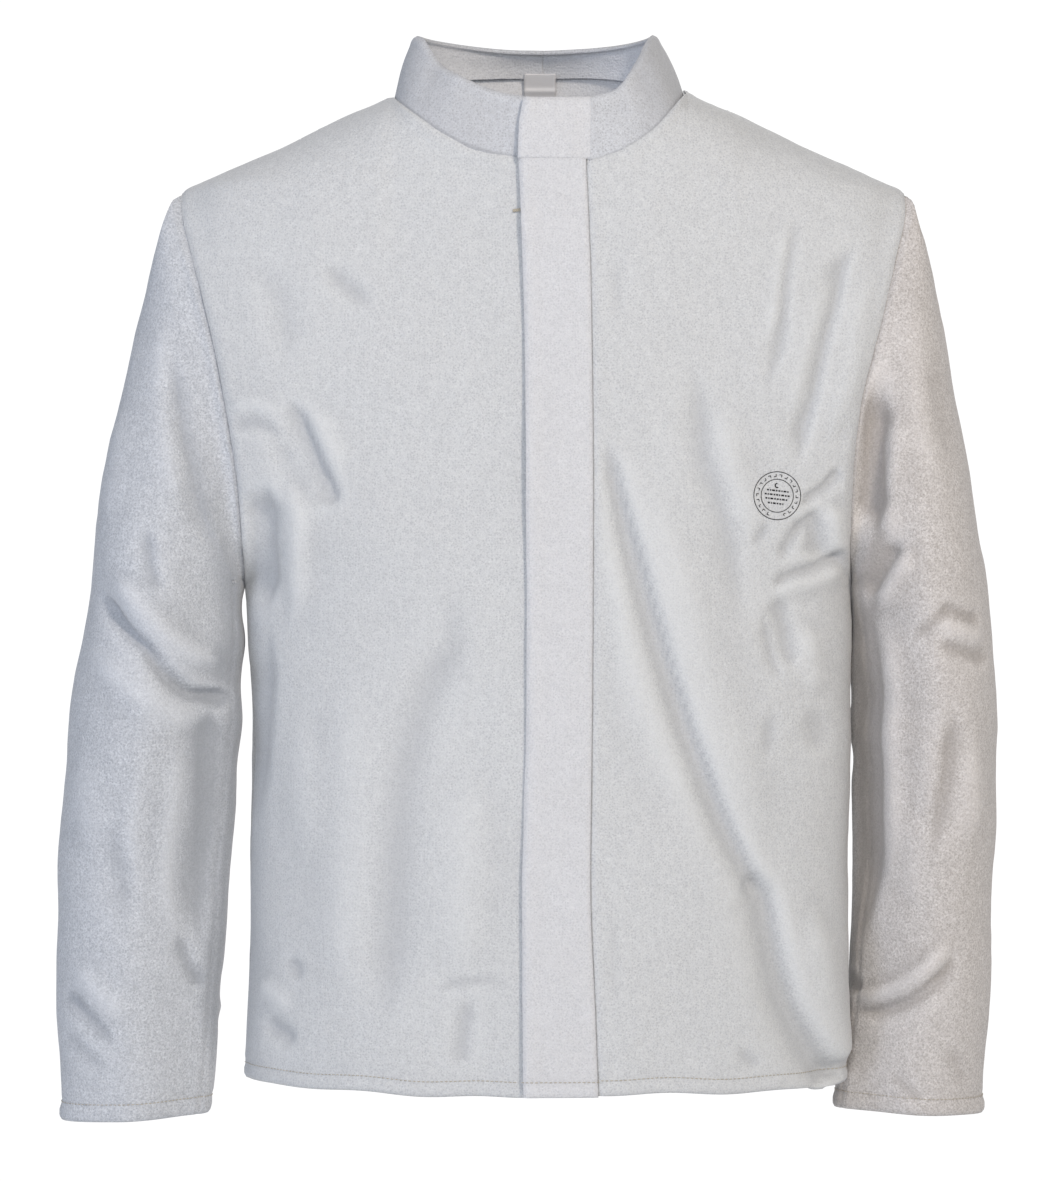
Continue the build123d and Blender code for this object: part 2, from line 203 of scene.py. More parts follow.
back_depth = through((-760, 112), (-717, 112), (-480, 112), (-330, 115), (-206, 117), (-120, 113),
                     (-60, 104), (-10, 94), (36, 88), (60, 86))
shoulder_line = {
    side: through((neck_side[side][0], neck_side[side][1]), (128, 0), (149, -9), (191, -29),
                  (236, -48), (SHOULDER_X + 1, SHOULDER_Z))
    for side in (LEFT, RIGHT)
}
# The fly band's two edges.
fly_free_edge = through((-717, -15), (-560, -15.5), (-440, -12.5), (-220, -13), (-120, -15.5), (-44, -18.5))
fly_seam = through((-717, 38.5), (-660, 36.5), (-567, 33), (-438, 34.4), (-290, 35.2), (-142, 33.8), (-40, 30))


def body_edge(side, z):
    """The outer edge of a front or of the back: its side seam, then its armhole."""
    return np.where(z < ARMPIT_Z, body_half[side](z), armhole[side](z))


def body_y(side, x, z, depth):
    """How far in front of or behind the centre plane the body's surface is."""
    def plain(x, z):
        half = np.maximum(body_half[side](z), 1)
        return depth(z) ** 2 * np.clip(1 - (x / half) ** 2, 0, 1)

    # The front and the back meet in the shoulder seam, on the centre plane.
    along = np.clip(np.abs(x), neck_side[side][0], SHOULDER_X + 1)
    apart = plain(along, shoulder_line[side](along)) * ease(-160, -70, z)
    return np.sqrt(np.maximum(plain(np.abs(x), z) - apart, 0))


# ---------------------------------------------------------------- grids
def spaced(count, fine_start=(), fine_end=()):
    """Shares from 0 to 1, with extra lines near each end."""
    extra = list(fine_start) + [1 - s for s in fine_end]
    shares = np.concatenate([np.linspace(0, 1, count), extra])
    shares.sort()
    return shares[np.concatenate([[True], np.diff(shares) > 4e-4])]


def step_lengths(grid, axis):
    """Distance from the first line of a grid to each point, along one of its directions."""
    steps = np.linalg.norm(np.diff(grid, axis=axis), axis=2)
    pad = [(0, 0), (0, 0)]
    pad[axis] = (1, 0)
    return np.cumsum(np.pad(steps, pad), axis=axis)


def normals_of(grid, outward, wrap=False):
    """Unit normals of a grid of points, turned to the side that outward(points) points to."""
    if wrap:
        across = np.roll(grid, -1, 1) - np.roll(grid, 1, 1)
    else:
        across = np.gradient(grid, axis=1)
    up = np.gradient(grid, axis=0)
    n = np.cross(across, up)
    size = np.linalg.norm(n, axis=2, keepdims=True)
    n = n / np.maximum(size, 1e-9)
    if (n * outward(grid)).sum() < 0:
        n = -n
    return n


def from_centre(grid):
    """Outward for a piece that goes round the body."""
    return grid * (1, 1, 0.02)


def from_plane(grid):
    """Outward for a piece that lies flat on the front or on the back."""
    return grid * (0, 1, 0)


# ---------------------------------------------------------------- materials
def linear(hex_colour):
    """sRGB hex to the linear colour that a shader takes."""
    value = hex_colour.lstrip("#")
    out = []
    for k in (0, 2, 4):
        c = int(value[k:k + 2], 16) / 255
        out.append(c / 12.92 if c <= 0.04045 else ((c + 0.055) / 1.055) ** 2.4)
    return (*out, 1.0)


def node(tree, kind, settings=None, inputs=None, links=None):
    """Adds a node; inputs are values by socket name or number, links are sockets to feed it."""
    made = tree.nodes.new(kind)
    for key, value in (settings or {}).items():
        setattr(made, key, value)
    for key, value in (inputs or {}).items():
        made.inputs[key].default_value = value
    for key, socket in (links or {}).items():
        tree.links.new(socket, made.inputs[key])
    return made


def shader(name, roughness, **uniform):
    """An empty material with its Principled shader; uniform sets plain socket values."""
    material = bpy.data.materials.new(name)
    material.use_nodes = True
    tree = material.node_tree
    principled = tree.nodes["Principled BSDF"]
    principled.inputs["Roughness"].default_value = roughness
    for key, value in uniform.items():
        principled.inputs[key.replace("_", " ")].default_value = value
    coordinates = node(tree, "ShaderNodeTexCoord").outputs["Object"]
    return material, tree, principled, coordinates


def noise(tree, place, size_mm, detail, **more):
    """Cloudy noise whose patches are about size_mm wide."""
    return node(tree, "ShaderNodeTexNoise", None, {"Scale": 1000 / size_mm, "Detail": detail, **more},
                {"Vector": place}).outputs["Fac"]


def ramp(tree, value, low, high, top, bottom=0.0):
    """bottom at low, top at high."""
    return node(tree, "ShaderNodeMapRange", None,
                {"From Min": low, "From Max": high, "To Min": bottom, "To Max": top},
                {"Value": value}).outputs[0]


def blended(tree, amount, under, over):
    """Colour under turning into colour over by amount; under is a hex colour or a socket."""
    plain = isinstance(under, str)
    return node(tree, "ShaderNodeMix", {"data_type": "RGBA"},
                {"A": linear(under), "B": linear(over)} if plain else {"B": linear(over)},
                {"Factor": amount} if plain else {"Factor": amount, "A": under}).outputs["Result"]


def bumped(tree, principled, height, strength, distance, invert=False):
    bump = node(tree, "ShaderNodeBump", {"invert": invert}, {"Strength": strength, "Distance": distance},
                {"Height": height})
    tree.links.new(bump.outputs["Normal"], principled.inputs["Normal"])


def suede(name, face, worn, deep, nap_mm=1.1, clump_mm=6.0, pile=0.55, cloud=0.3, hollow=0.45):
    """Split cowhide: the fuzzy middle layer of a hide, dyed pale.

    It has no gloss. Short fibres lie in clumps a few millimetres wide that catch the light
    differently, the dye takes unevenly over a hand's width, and fibre ends leave small pits.
    """
    material, tree, principled, place = shader(
        name, 0.92, Specular_IOR_Level=0.22, Sheen_Weight=0.28, Sheen_Roughness=0.55,
        Sheen_Tint=linear("#f4f4f2"), IOR=1.45)
    clouds = noise(tree, place, 60, 6.0, Roughness=0.7)
    clumps = noise(tree, place, clump_mm, 4.0, Roughness=0.7)
    # Real fibres are a tenth of this wide, too fine to show.
    fibres = noise(tree, place, nap_mm, 3.0, Roughness=0.75, Distortion=0.6)
    pits = node(tree, "ShaderNodeTexVoronoi", {"feature": "F1"}, {"Scale": 1000 / 2.0, "Randomness": 0.75},
                {"Vector": place}).outputs["Distance"]
    tone = blended(tree, ramp(tree, clouds, 0.3, 0.75, cloud), face, worn)
    for value, low, high, top, bottom in ((clumps, 0.38, 0.72, 0.24, 0.0), (fibres, 0.36, 0.66, pile, 0.0),
                                          (pits, 0.0, 0.45, 0.0, 0.8)):
        tone = blended(tree, ramp(tree, value, low, high, top, bottom), tone, deep)
    # Painted light from two vertex attributes. Below zero the first one darkens hollows towards deep as painted
    # shade, and above zero it lightens ridges towards face as a painted highlight. The seam one paints shade in
    # #7d7f84 along seam grooves.
    for attribute, high, share, colour in (("painted_highlight_and_shade", -1.0, hollow, deep), ("painted_highlight_and_shade", 1.0, 0.5, face),
                                           ("seam", 1.0, 0.75, "#7d7f84")):
        value = node(tree, "ShaderNodeAttribute", {"attribute_name": attribute}).outputs["Fac"]
        tone = blended(tree, ramp(tree, value, 0.0, high, share), tone, colour)
    tree.links.new(tone, principled.inputs["Base Color"])
    height = node(tree, "ShaderNodeMath", {"operation": "MULTIPLY_ADD"}, {1: 0.6}, {0: fibres, 2: clumps})
    height = node(tree, "ShaderNodeMath", {"operation": "MULTIPLY_ADD"}, {1: 0.5},
                  {0: pits, 2: height.outputs[0]})
    bumped(tree, principled, height.outputs[0], 0.7, 0.0009)
    return material


def thread_material(name, colour):
    """Spun aramid sewing thread, three plies twisted: matt, with a fine diagonal ply."""
    material, tree, principled, place = shader(name, 0.7, Specular_IOR_Level=0.3, Sheen_Weight=0.15)
    plies = node(tree, "ShaderNodeTexWave", {"bands_direction": "DIAGONAL"},
                 {"Scale": 1000 / 1.6, "Distortion": 1.0}, {"Vector": place})
    tree.links.new(blended(tree, plies.outputs["Fac"], colour, "#8d8473"), principled.inputs["Base Color"])
    return material


def tape_material(name, colour, dark, pile_mm, depth):
    """Nylon hook-and-loop tape: a woven ground under a pile of hooks or brushed loops."""
    material, tree, principled, place = shader(name, 0.6, Specular_IOR_Level=0.4, Sheen_Weight=0.3)
    pile = node(tree, "ShaderNodeTexVoronoi", None, {"Scale": 1000 / pile_mm, "Randomness": 0.6},
                {"Vector": place}).outputs["Distance"]
    tree.links.new(blended(tree, pile, colour, dark), principled.inputs["Base Color"])
    bumped(tree, principled, pile, 0.8, depth, invert=True)
    return material


def satin_material(name):
    """Woven polyester satin label: white, with a soft gloss along its weft."""
    material, tree, principled, place = shader(name, 0.38, Specular_IOR_Level=0.55, Anisotropic=0.5,
                                               Sheen_Weight=0.2)
    weft = node(tree, "ShaderNodeTexWave", {"bands_direction": "Z"}, {"Scale": 1000 / 2.4, "Distortion": 0.4},
                {"Vector": place}).outputs["Fac"]
    tree.links.new(blended(tree, weft, "#e9e9ea", "#cfcfd2"), principled.inputs["Base Color"])
    bumped(tree, principled, weft, 0.3, 0.0001)
    return material


def ink_material(name):
    """Stamping ink soaked into suede: near black, broken where fibres stood in the way."""
    material, tree, principled, place = shader(name, 0.85, Specular_IOR_Level=0.2)
    wear = ramp(tree, noise(tree, place, 1.2, 3.0), 0.5, 0.8, 0.6)
    tree.links.new(blended(tree, wear, "#1d1e20", "#77787b"), principled.inputs["Base Color"])
    return material


suede_body = suede("suede_split_leather_body", "#e1e3e3", "#d7d7d5", "#b2b4b7")
suede_fly = suede("suede_split_leather_fly", "#e4e5e7", "#dddcda", "#c0c1c4", cloud=0.4)
# The sleeves are tinted copies of one suede with painted light: the right sleeve cool and the left warm, as the
# lamps on each side tint them, and both take stronger painted shade in their hollows.
suede_sleeve_right_cool_painted_light = suede("suede_split_leather_right_sleeve", "#e0e3e7", "#d2d5d9", "#9ea2a8",
                           nap_mm=1.5, clump_mm=7.5, pile=0.75, hollow=0.72)
suede_sleeve_left_warm_painted_light = suede("suede_split_leather_left_sleeve", "#e8e4e1", "#dad6d2", "#9f9994",
                          nap_mm=1.5, clump_mm=7.5, pile=0.75, hollow=0.72)
suede_collar = suede("suede_split_leather_collar", "#dfe2e6", "#d5d6d8", "#a6a7aa")
# The flesh side is painted lighter than the hide's face, as painted light that makes up for the shade inside the
# jacket.
suede_flesh = suede("split_leather_flesh_side", "#f1f3f6", "#e7e9ed", "#cccdd2", clump_mm=8.0, pile=0.4)
thread_natural = thread_material("aramid_thread_natural", "#d8d0bd")
hook_tape = tape_material("nylon_hook_tape", "#8e9094", "#5a5c60", 1.2, 0.0008)
loop_tape = tape_material("nylon_loop_tape_brushed", "#a2a4a8", "#74767a", 0.9, 0.0005)
satin_label = satin_material("polyester_satin_label")
cotton_tape = thread_material("cotton_stay_tape_woven", "#d9d6cd")
stamp_ink = ink_material("stamping_ink_worn")


# ---------------------------------------------------------------- meshes
def new_object(name, vertices, faces, materials, face_materials=None):
    mesh = bpy.data.meshes.new(name)
    mesh.from_pydata([tuple(v) for v in np.asarray(vertices) * MM], [], [tuple(f) for f in faces])
    for material in materials:
        mesh.materials.append(material)
    if face_materials is not None:
        mesh.polygons.foreach_set("material_index", np.asarray(face_materials, np.int32))
    mesh.polygons.foreach_set("use_smooth", np.ones(len(mesh.polygons), bool))
    mesh.update()
    made = bpy.data.objects.new(name, mesh)
    bpy.context.scene.collection.objects.link(made)
    return made


def smoothed(values, reach, wrap=False):
    """Each value averaged with its neighbours, up to reach lines away both ways."""
    out = values
    for axis in (0, 1):
        mode = "wrap" if wrap and axis == 1 else "edge"
        pad = [(0, 0), (0, 0)]
        pad[axis] = (reach + 1, reach)
        total = np.cumsum(np.pad(out, pad, mode=mode), axis=axis)
        size = out.shape[axis]
        high = np.take(total, np.arange(2 * reach + 1, 2 * reach + 1 + size), axis=axis)
        low = np.take(total, np.arange(size), axis=axis)
        out = (high - low) / (2 * reach + 1)
    return out


def fold_highlight_and_shade(lifted, wrap=False):
    """Painted highlight on the ridges of folds and painted shade in their hollows: about -1 to 1."""
    fine = (lifted - smoothed(lifted, 3, wrap)) / 0.8
    broad = (lifted - smoothed(lifted, 9, wrap)) / 3.2
    return np.clip(0.5 * fine + 0.5 * broad, -1, 1)


def seam_shade(distance, width=1.1):
    """Painted shade along the groove of a seam."""
    return bell(distance, width)


def shell(name, grid, thickness, materials, outward, wrap=False, painted_highlight_and_shade=None, seam=None):
    """Leather: the grid is its outer face, and the inner face lies thickness under it."""
    rows, columns = grid.shape[:2]
    n = normals_of(grid, outward, wrap)
    inner = grid - n * np.broadcast_to(np.asarray(thickness, float), (rows, columns))[..., None]
    vertices = np.concatenate([grid.reshape(-1, 3), inner.reshape(-1, 3)])
    half = rows * columns
    across = np.arange(columns if wrap else columns - 1)
    quads = []
    i = np.arange(rows - 1)[:, None]
    j = across[None, :]
    jn = (j + 1) % columns
    a, b, c, d = (i * columns + j, i * columns + jn, (i + 1) * columns + jn, (i + 1) * columns + j)
    outer = np.stack([a, b, c, d], -1).reshape(-1, 4)
    p = vertices[outer[len(outer) // 2]]
    face_normal = np.cross(p[1] - p[0], p[3] - p[0])
    flip = face_normal @ n.reshape(-1, 3)[outer[len(outer) // 2][0]] < 0
    if flip:
        outer = outer[:, ::-1]
    inside = outer[:, ::-1] + half
    quads += [outer, inside]
    border = []
    if wrap:
        ring = np.arange(columns)
        loops = [(ring, np.roll(ring, -1)),
                 (((rows - 1) * columns + ring)[::-1], np.roll(((rows - 1) * columns + ring)[::-1], -1))]
    else:
        bottom = np.arange(columns)
        right = np.arange(rows) * columns + columns - 1
        top = ((rows - 1) * columns + np.arange(columns))[::-1]
        left = (np.arange(rows) * columns)[::-1]
        loop = np.concatenate([bottom[:-1], right[:-1], top[:-1], left[:-1]])
        loops = [(loop, np.roll(loop, -1))]
    for first, second in loops:
        strip = np.stack([first, first + half, second + half, second], -1)
        border.append(strip[:, ::-1] if flip else strip)
    border = np.concatenate(border)
    quads.append(border)
    faces = np.concatenate(quads)
    slots = np.concatenate([np.zeros(len(outer), int), np.full(len(inside), 1), np.zeros(len(border), int)])
    made = new_object(name, vertices, faces, materials, slots % len(materials))
    for key, values in (("painted_highlight_and_shade", painted_highlight_and_shade), ("seam", seam)):
        if values is not None:
            spread = np.concatenate([np.broadcast_to(values, (rows, columns)).reshape(-1), np.zeros(half)])
            made.data.attributes.new(key, "FLOAT", "POINT").data.foreach_set("value", spread.astype(np.float32))
    return made


def build_stitch_tree():
    """Geometry Nodes: lays small rounded stitches end to end along each line it is given."""
    tree = bpy.data.node_groups.new("lockstitch_run", "GeometryNodeTree")
    face = tree.interface
    face.new_socket("Geometry", in_out="INPUT", socket_type="NodeSocketGeometry")
    sizes = {"Pitch": STITCH_PITCH * MM, "Stitch Length": STITCH_LENGTH * MM,
             "Thread Radius": THREAD_RADIUS * MM}
    for key, value in sizes.items():
        face.new_socket(key, in_out="INPUT", socket_type="NodeSocketFloat").default_value = value
    face.new_socket("Thread", in_out="INPUT", socket_type="NodeSocketMaterial")
    face.new_socket("Geometry", in_out="OUTPUT", socket_type="NodeSocketGeometry")
    given = node(tree, "NodeGroupInput").outputs
    curve = node(tree, "GeometryNodeMeshToCurve", None, None, {"Mesh": given["Geometry"]})
    points = node(tree, "GeometryNodeCurveToPoints", {"mode": "LENGTH"}, None,
                  {"Curve": curve.outputs["Curve"], "Length": given["Pitch"]})
    bead = node(tree, "GeometryNodeMeshUVSphere", None, {"Segments": 6, "Rings": 5, "Radius": 1.0})
    size = node(tree, "ShaderNodeCombineXYZ", None, None,
                {"X": given["Thread Radius"], "Y": given["Thread Radius"]})
    half_length = node(tree, "ShaderNodeMath", {"operation": "MULTIPLY"}, {1: 0.5}, {0: given["Stitch Length"]})
    tree.links.new(half_length.outputs[0], size.inputs["Z"])
    stitch = node(tree, "GeometryNodeTransform", None, None,
                  {"Geometry": bead.outputs["Mesh"], "Scale": size.outputs["Vector"]})
    turn = node(tree, "FunctionNodeAlignRotationToVector", {"axis": "Z"}, None,
                {"Vector": points.outputs["Tangent"]})
    laid = node(tree, "GeometryNodeInstanceOnPoints", None, None,
                {"Points": points.outputs["Points"], "Instance": stitch.outputs["Geometry"],
                 "Rotation": turn.outputs["Rotation"]})
    real = node(tree, "GeometryNodeRealizeInstances", None, None, {"Geometry": laid.outputs["Instances"]})
    smooth = node(tree, "GeometryNodeSetShadeSmooth", None, {"Shade Smooth": True},
                  {"Geometry": real.outputs["Geometry"]})
    coloured = node(tree, "GeometryNodeSetMaterial", None, None,
                    {"Geometry": smooth.outputs["Geometry"], "Material": given["Thread"]})
    node(tree, "NodeGroupOutput", None, None, {"Geometry": coloured.outputs["Geometry"]})
    return tree


stitch_tree = build_stitch_tree()


def stitches(name, lines, thread, pitch=STITCH_PITCH, length=STITCH_LENGTH, radius=THREAD_RADIUS):
    """Stitches along several lines, as one plain mesh."""
    count, points, edges = 0, [], []
    for line in lines:
        points += [tuple(p) for p in np.asarray(line) * MM]
        edges += [(count + k, count + k + 1) for k in range(len(line) - 1)]
        count += len(line)
    mesh = bpy.data.meshes.new(name + "_path")
    mesh.from_pydata(points, edges, [])
    made = bpy.data.objects.new(name, mesh)
    bpy.context.scene.collection.objects.link(made)
    modifier = made.modifiers.new("lockstitch", "NODES")
    modifier.node_group = stitch_tree
    values = {"Pitch": pitch * MM, "Stitch Length": length * MM, "Thread Radius": radius * MM, "Thread": thread}
    for item in stitch_tree.interface.items_tree:
        if item.in_out == "INPUT" and item.name in values:
            modifier[item.identifier] = values[item.name]
    bpy.context.view_layer.update()
    evaluated = made.evaluated_get(bpy.context.evaluated_depsgraph_get())
    finished = bpy.data.meshes.new_from_object(evaluated)
    made.modifiers.clear()
    made.data = finished
    return made


def bend_front(piece):
    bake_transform(piece)


def bend_fly(piece):
    """Bakes a piece's placement into its mesh."""
    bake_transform(piece)


def bend_sleeve(piece):
    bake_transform(piece)


# ---------------------------------------------------------------- folds worn into each piece
# Each entry: path of (x, z) points, width, height (negative is a hollow), and lean and fading
# ends where they aren't crease()'s own.
LEFT_FRONT_FOLDS = [
    ([(43, -242), (50, -273), (59, -306), (67, -333), (77, -369), (96, -430), (119, -494), (141, -542),
      (160, -577)], 9, -4.8, 0.5, (0.1, 0.04)),
    ([(150, -557), (163, -582), (170, -614), (181, -652), (198, -686), (217, -715)], 12, -6.6, 0.5, (0.12, 0.05)),
    ([(75, -270), (85, -306), (98, -356), (115, -414), (137, -478), (162, -542)], 19, 2.4),
    ([(30, -270), (41, -321), (57, -378), (80, -449), (105, -507), (123, -550)], 17, 1.6),
    ([(194, -580), (201, -623), (213, -674), (220, -706)], 12, 2.6, 0.0, (0.3, 0.1)),
    ([(186, -79), (181, -103), (176, -131), (172, -178), (167, -194), (158, -218)], 6, -1.6, 0.45, (0.3, 0.3)),
    ([(178, -86), (172, -120), (167, -155), (161, -183)], 6, 1.3),
    ([(231, -102), (219, -121), (212, -150), (204, -177), (197, -210), (189, -241),
      (183, -270)], 8, -2.8, 0.5, (0.2, 0.2)),
    ([(220, -120), (204, -147), (194, -180), (185, -216), (177, -248)], 10, 1.6),
    ([(244, -117), (230, -153), (223, -190), (214, -226), (205, -255)], 9, 1.5),
    ([(107, -184), (113, -234), (116, -262), (125, -289), (133, -320), (138, -349),
      (143, -386)], 11, -1.9, 0.2, (0.3, 0.3)),
    ([(129, -220), (133, -256), (144, -292), (153, -326)], 12, 1.4),
    ([(183, -296), (194, -287), (203, -281), (215, -267)], 4, -2.2, 0.2, (0.25, 0.15)),
    ([(190, -297), (197, -309), (202, -336)], 9, -3.2, 0.3, (0.2, 0.3)),
    ([(190, -303), (181, -317), (170, -336)], 5, -2.0, 0.2, (0.25, 0.3)),
    ([(207, -291), (212, -313), (214, -335)], 8, 2.0),
    ([(164, -306), (155, -318), (149, -325)], 4, -1.1, 0.0, (0.4, 0.4)),
    ([(163, -353), (176, -346), (196, -339), (218, -327)], 4.5, -2.4, 0.3, (0.2, 0.1)),
    ([(166, -364), (180, -352), (201, -348), (219, -339)], 6, 2.0, 0.0, (0.3, 0.2)),
    ([(168, -358), (175, -382), (181, -418)], 8, -2.2, 0.3, (0.2, 0.35)),
    ([(158, -372), (165, -404), (174, -428)], 5, -1.3, 0.2, (0.3, 0.4)),
    ([(195, -436), (198, -458), (202, -479)], 10, -1.5, 0.0, (0.4, 0.4)),
    ([(166, -439), (162, -461), (161, -482)], 6, -1.0, 0.0, (0.4, 0.4)),
    ([(186, -378), (194, -407), (197, -436)], 9, 1.6),
    ([(49, -578), (49, -621), (49, -664)], 5, -0.6, 0.0, (0.4, 0.4)),
    ([(140, -683), (148, -693), (158, -700)], 5, -1.0, 0.0, (0.4, 0.3)),
    ([(52, -112), (52, -141), (51, -170)], 4, -0.6, 0.0, (0.4, 0.4)),
]
RIGHT_FRONT_FOLDS = [
    ([(-162, -120), (-141, -138), (-122, -155)], 7, -1.3, 0.0, (0.35, 0.35)),
    ([(-187, -214), (-174, -237), (-163, -261), (-148, -297)], 9, -3.2, 0.5, (0.3, 0.12)),
    ([(-203, -234), (-190, -255), (-177, -284), (-167, -306)], 10, -1.6, 0.0, (0.4, 0.4)),
    ([(-170, -220), (-157, -248), (-145, -277)], 10, 1.6, 0.0, (0.35, 0.3)),
    ([(-204, -276), (-203, -305), (-203, -345), (-207, -378)], 16, -5.2, 0.45, (0.25, 0.35)),
    ([(-186, -270), (-178, -306), (-178, -349), (-183, -392)], 9, 2.4, 0.0, (0.3, 0.4)),
    ([(-232, -241), (-212, -236), (-187, -245)], 5, -1.1),
    ([(-229, -225), (-211, -222), (-190, -227)], 5, 0.9),
    ([(-223, -114), (-203, -129), (-191, -147), (-184, -205)], 12, -1.1, 0.0, (0.4, 0.4)),
    ([(-201, -378), (-204, -436), (-209, -495), (-212, -538)], 9, -2.6, 0.2, (0.3, 0.4)),
    ([(-66, -342), (-66, -391), (-85, -429), (-100, -485), (-107, -561), (-111, -636),
      (-119, -678)], 18, -2.4, 0.0, (0.3, 0.2)),
    ([(-137, -407), (-142, -493), (-144, -579), (-147, -665)], 20, 1.8),
    ([(-53, -478), (-58, -563), (-62, -642)], 18, 1.5),
    ([(-53, -643), (-57, -670), (-60, -697)], 6, -1.4, 0.2, (0.3, 0.2)),
    ([(-78, -647), (-63, -637), (-42, -635), (-22, -639)], 4, -0.8, 0.0, (0.3, 0.1)),
    ([(-187, -620), (-181, -630), (-175, -641)], 6, -1.5, 0.0, (0.4, 0.4)),
    ([(-208, -670), (-193, -676), (-179, -686)], 8, -2.0, 0.2, (0.3, 0.3)),
    ([(-212, -642), (-196, -653), (-183, -662)], 8, 1.6),
    ([(-175, -435), (-173, -500), (-170, -565)], 12, 1.2, 0.0, (0.4, 0.4)),
]
RIGHT_SLEEVE_FOLDS = [
    ([(-324, -353), (-303, -382), (-284, -400), (-269, -419), (-253, -431),
      (-227, -434)], 6, -4.6, 0.3, (0.18, 0.08)),
    ([(-312, -342), (-293, -367), (-274, -387), (-255, -403), (-235, -413)], 9, 3.2, 0.0, (0.25, 0.2)),
    ([(-330, -393), (-313, -413), (-293, -430), (-272, -445), (-249, -452)], 12, 2.2, 0.0, (0.3, 0.2)),
    ([(-288, -306), (-286, -324), (-282, -344), (-270, -359)], 7, -1.8, 0.2, (0.35, 0.3)),
    ([(-273, -168), (-266, -219), (-255, -262), (-244, -306), (-232, -342)], 10, -2.4, 0.2, (0.3, 0.3)),
    ([(-284, -146), (-277, -204), (-271, -255), (-260, -306)], 11, 1.5),
    ([(-307, -218), (-313, -269), (-317, -320)], 11, 1.4, 0.0, (0.3, 0.4)),
    ([(-246, -436), (-245, -465), (-245, -508), (-251, -571), (-254, -625)], 11, -3.4, 0.3, (0.15, 0.3)),
    ([(-265, -458), (-268, -509), (-272, -567), (-269, -617)], 8, 1.3),
    ([(-267, -604), (-258, -630), (-249, -649)], 5, -2.0, 0.2, (0.3, 0.2)),
    ([(-349, -646), (-331, -665), (-307, -690)], 7, -2.4, 0.3, (0.2, 0.35)),
    ([(-350, -677), (-334, -693), (-317, -707)], 6, -1.4),
    ([(-345, -626), (-323, -648), (-299, -668)], 9, 1.6),
    ([(-335, -465), (-332, -509), (-327, -552)], 14, 1.6, 0.0, (0.4, 0.4)),
    ([(-314, -523), (-307, -567), (-304, -610)], 12, -1.4, 0.0, (0.4, 0.4)),
    ([(-291, -480), (-297, -538), (-288, -589)], 9, 0.8, 0.0, (0.4, 0.4)),
]
LEFT_SLEEVE_FOLDS = [
    ([(247, -199), (241, -233), (239, -276), (241, -320)], 15, -7.5, 0.3, (0.3, 0.25)),
    ([(258, -219), (253, -255), (250, -295), (257, -324)], 9, 2.0, 0.0, (0.3, 0.2)),
    ([(261, -320), (253, -332), (244, -348), (236, -364)], 6, -3.0, 0.3, (0.25, 0.25)),
    ([(268, -324), (262, -339), (253, -356), (244, -375)], 6, 2.6),
    ([(235, -364), (240, -436), (240, -509), (238, -575), (232, -626)], 12, -4.6, 0.2, (0.2, 0.3)),
    ([(253, -378), (255, -443), (255, -509), (252, -581)], 9, 2.4, 0.2, (0.3, 0.3)),
    ([(297, -436), (295, -480), (289, -516), (281, -557)], 10, -2.6, 0.0, (0.3, 0.35)),
    ([(312, -451), (313, -502), (309, -553)], 10, 1.8, 0.0, (0.4, 0.4)),
    ([(228, -656), (241, -656), (258, -649), (283, -629), (299, -608)], 6, 2.8, 0.2, (0.2, 0.3)),
    ([(229, -668), (247, -665), (266, -658), (289, -640), (305, -619)], 6, -2.6, 0.2, (0.2, 0.3)),
    ([(221, -637), (228, -648), (234, -656)], 5, -2.4),
    ([(255, -709), (266, -721), (279, -734)], 5, -1.4, 0.0, (0.3, 0.2)),
    ([(294, -685), (305, -707), (309, -729)], 8, -1.4, 0.0, (0.4, 0.3)),
    ([(285, -364), (300, -372), (318, -378)], 5, -1.8, 0.2, (0.35, 0.15)),
    ([(281, -393), (300, -399), (324, -407)], 6, -1.6, 0.2, (0.35, 0.15)),
    ([(280, -380), (300, -385), (321, -393)], 6, 1.5, 0.0, (0.35, 0.2)),
    ([(263, -393), (280, -381), (296, -364)], 6, -1.5, 0.2, (0.35, 0.3)),
    ([(267, -132), (269, -190), (274, -241), (284, -291)], 13, 1.5),
    ([(284, -168), (290, -226), (297, -276)], 12, -1.3, 0.0, (0.4, 0.4)),
    ([(263, -509), (268, -560), (275, -596)], 10, 1.2, 0.0, (0.4, 0.4)),
]
BACK_FOLDS = [
    ([(-150, -120), (-130, -240), (-140, -360)], 30, 2.4, 0.0, (0.3, 0.4)),
    ([(150, -120), (134, -240), (140, -360)], 30, 2.4, 0.0, (0.3, 0.4)),
    ([(-60, -30), (-40, -140), (-46, -280)], 30, -2.0, 0.0, (0.3, 0.4)),
    ([(66, -40), (46, -150), (50, -260)], 28, -1.8, 0.0, (0.3, 0.4)),
    ([(-90, -430), (-70, -560), (-84, -700)], 34, 3.0, 0.0, (0.4, 0.2)),
    ([(60, -420), (84, -560), (70, -700)], 34, 2.8, 0.0, (0.4, 0.2)),
    ([(-6, -440), (4, -580), (-4, -700)], 28, -2.4, 0.0, (0.4, 0.2)),
    ([(-205, -330), (-160, -362), (-96, -372)], 15, 2.0, 0.2, (0.2, 0.4)),
    ([(206, -326), (160, -352), (100, -360)], 15, 2.0, 0.2, (0.2, 0.4)),
    ([(-160, -480), (-150, -590), (-164, -700)], 24, -2.2, 0.0, (0.4, 0.2)),
    ([(158, -470), (150, -590), (160, -700)], 24, -2.0, 0.0, (0.4, 0.2)),
]


def hide(points, seed, amount=1.0):
    """The unevenness of a worn hide, away from its folds."""
    return amount * (2.4 * drift(points, 130, seed) + 1.3 * drift(points, 56, seed + 1)
                     + 0.42 * drift(points, 23, seed + 2) + 0.14 * drift(points, 9, seed + 3))


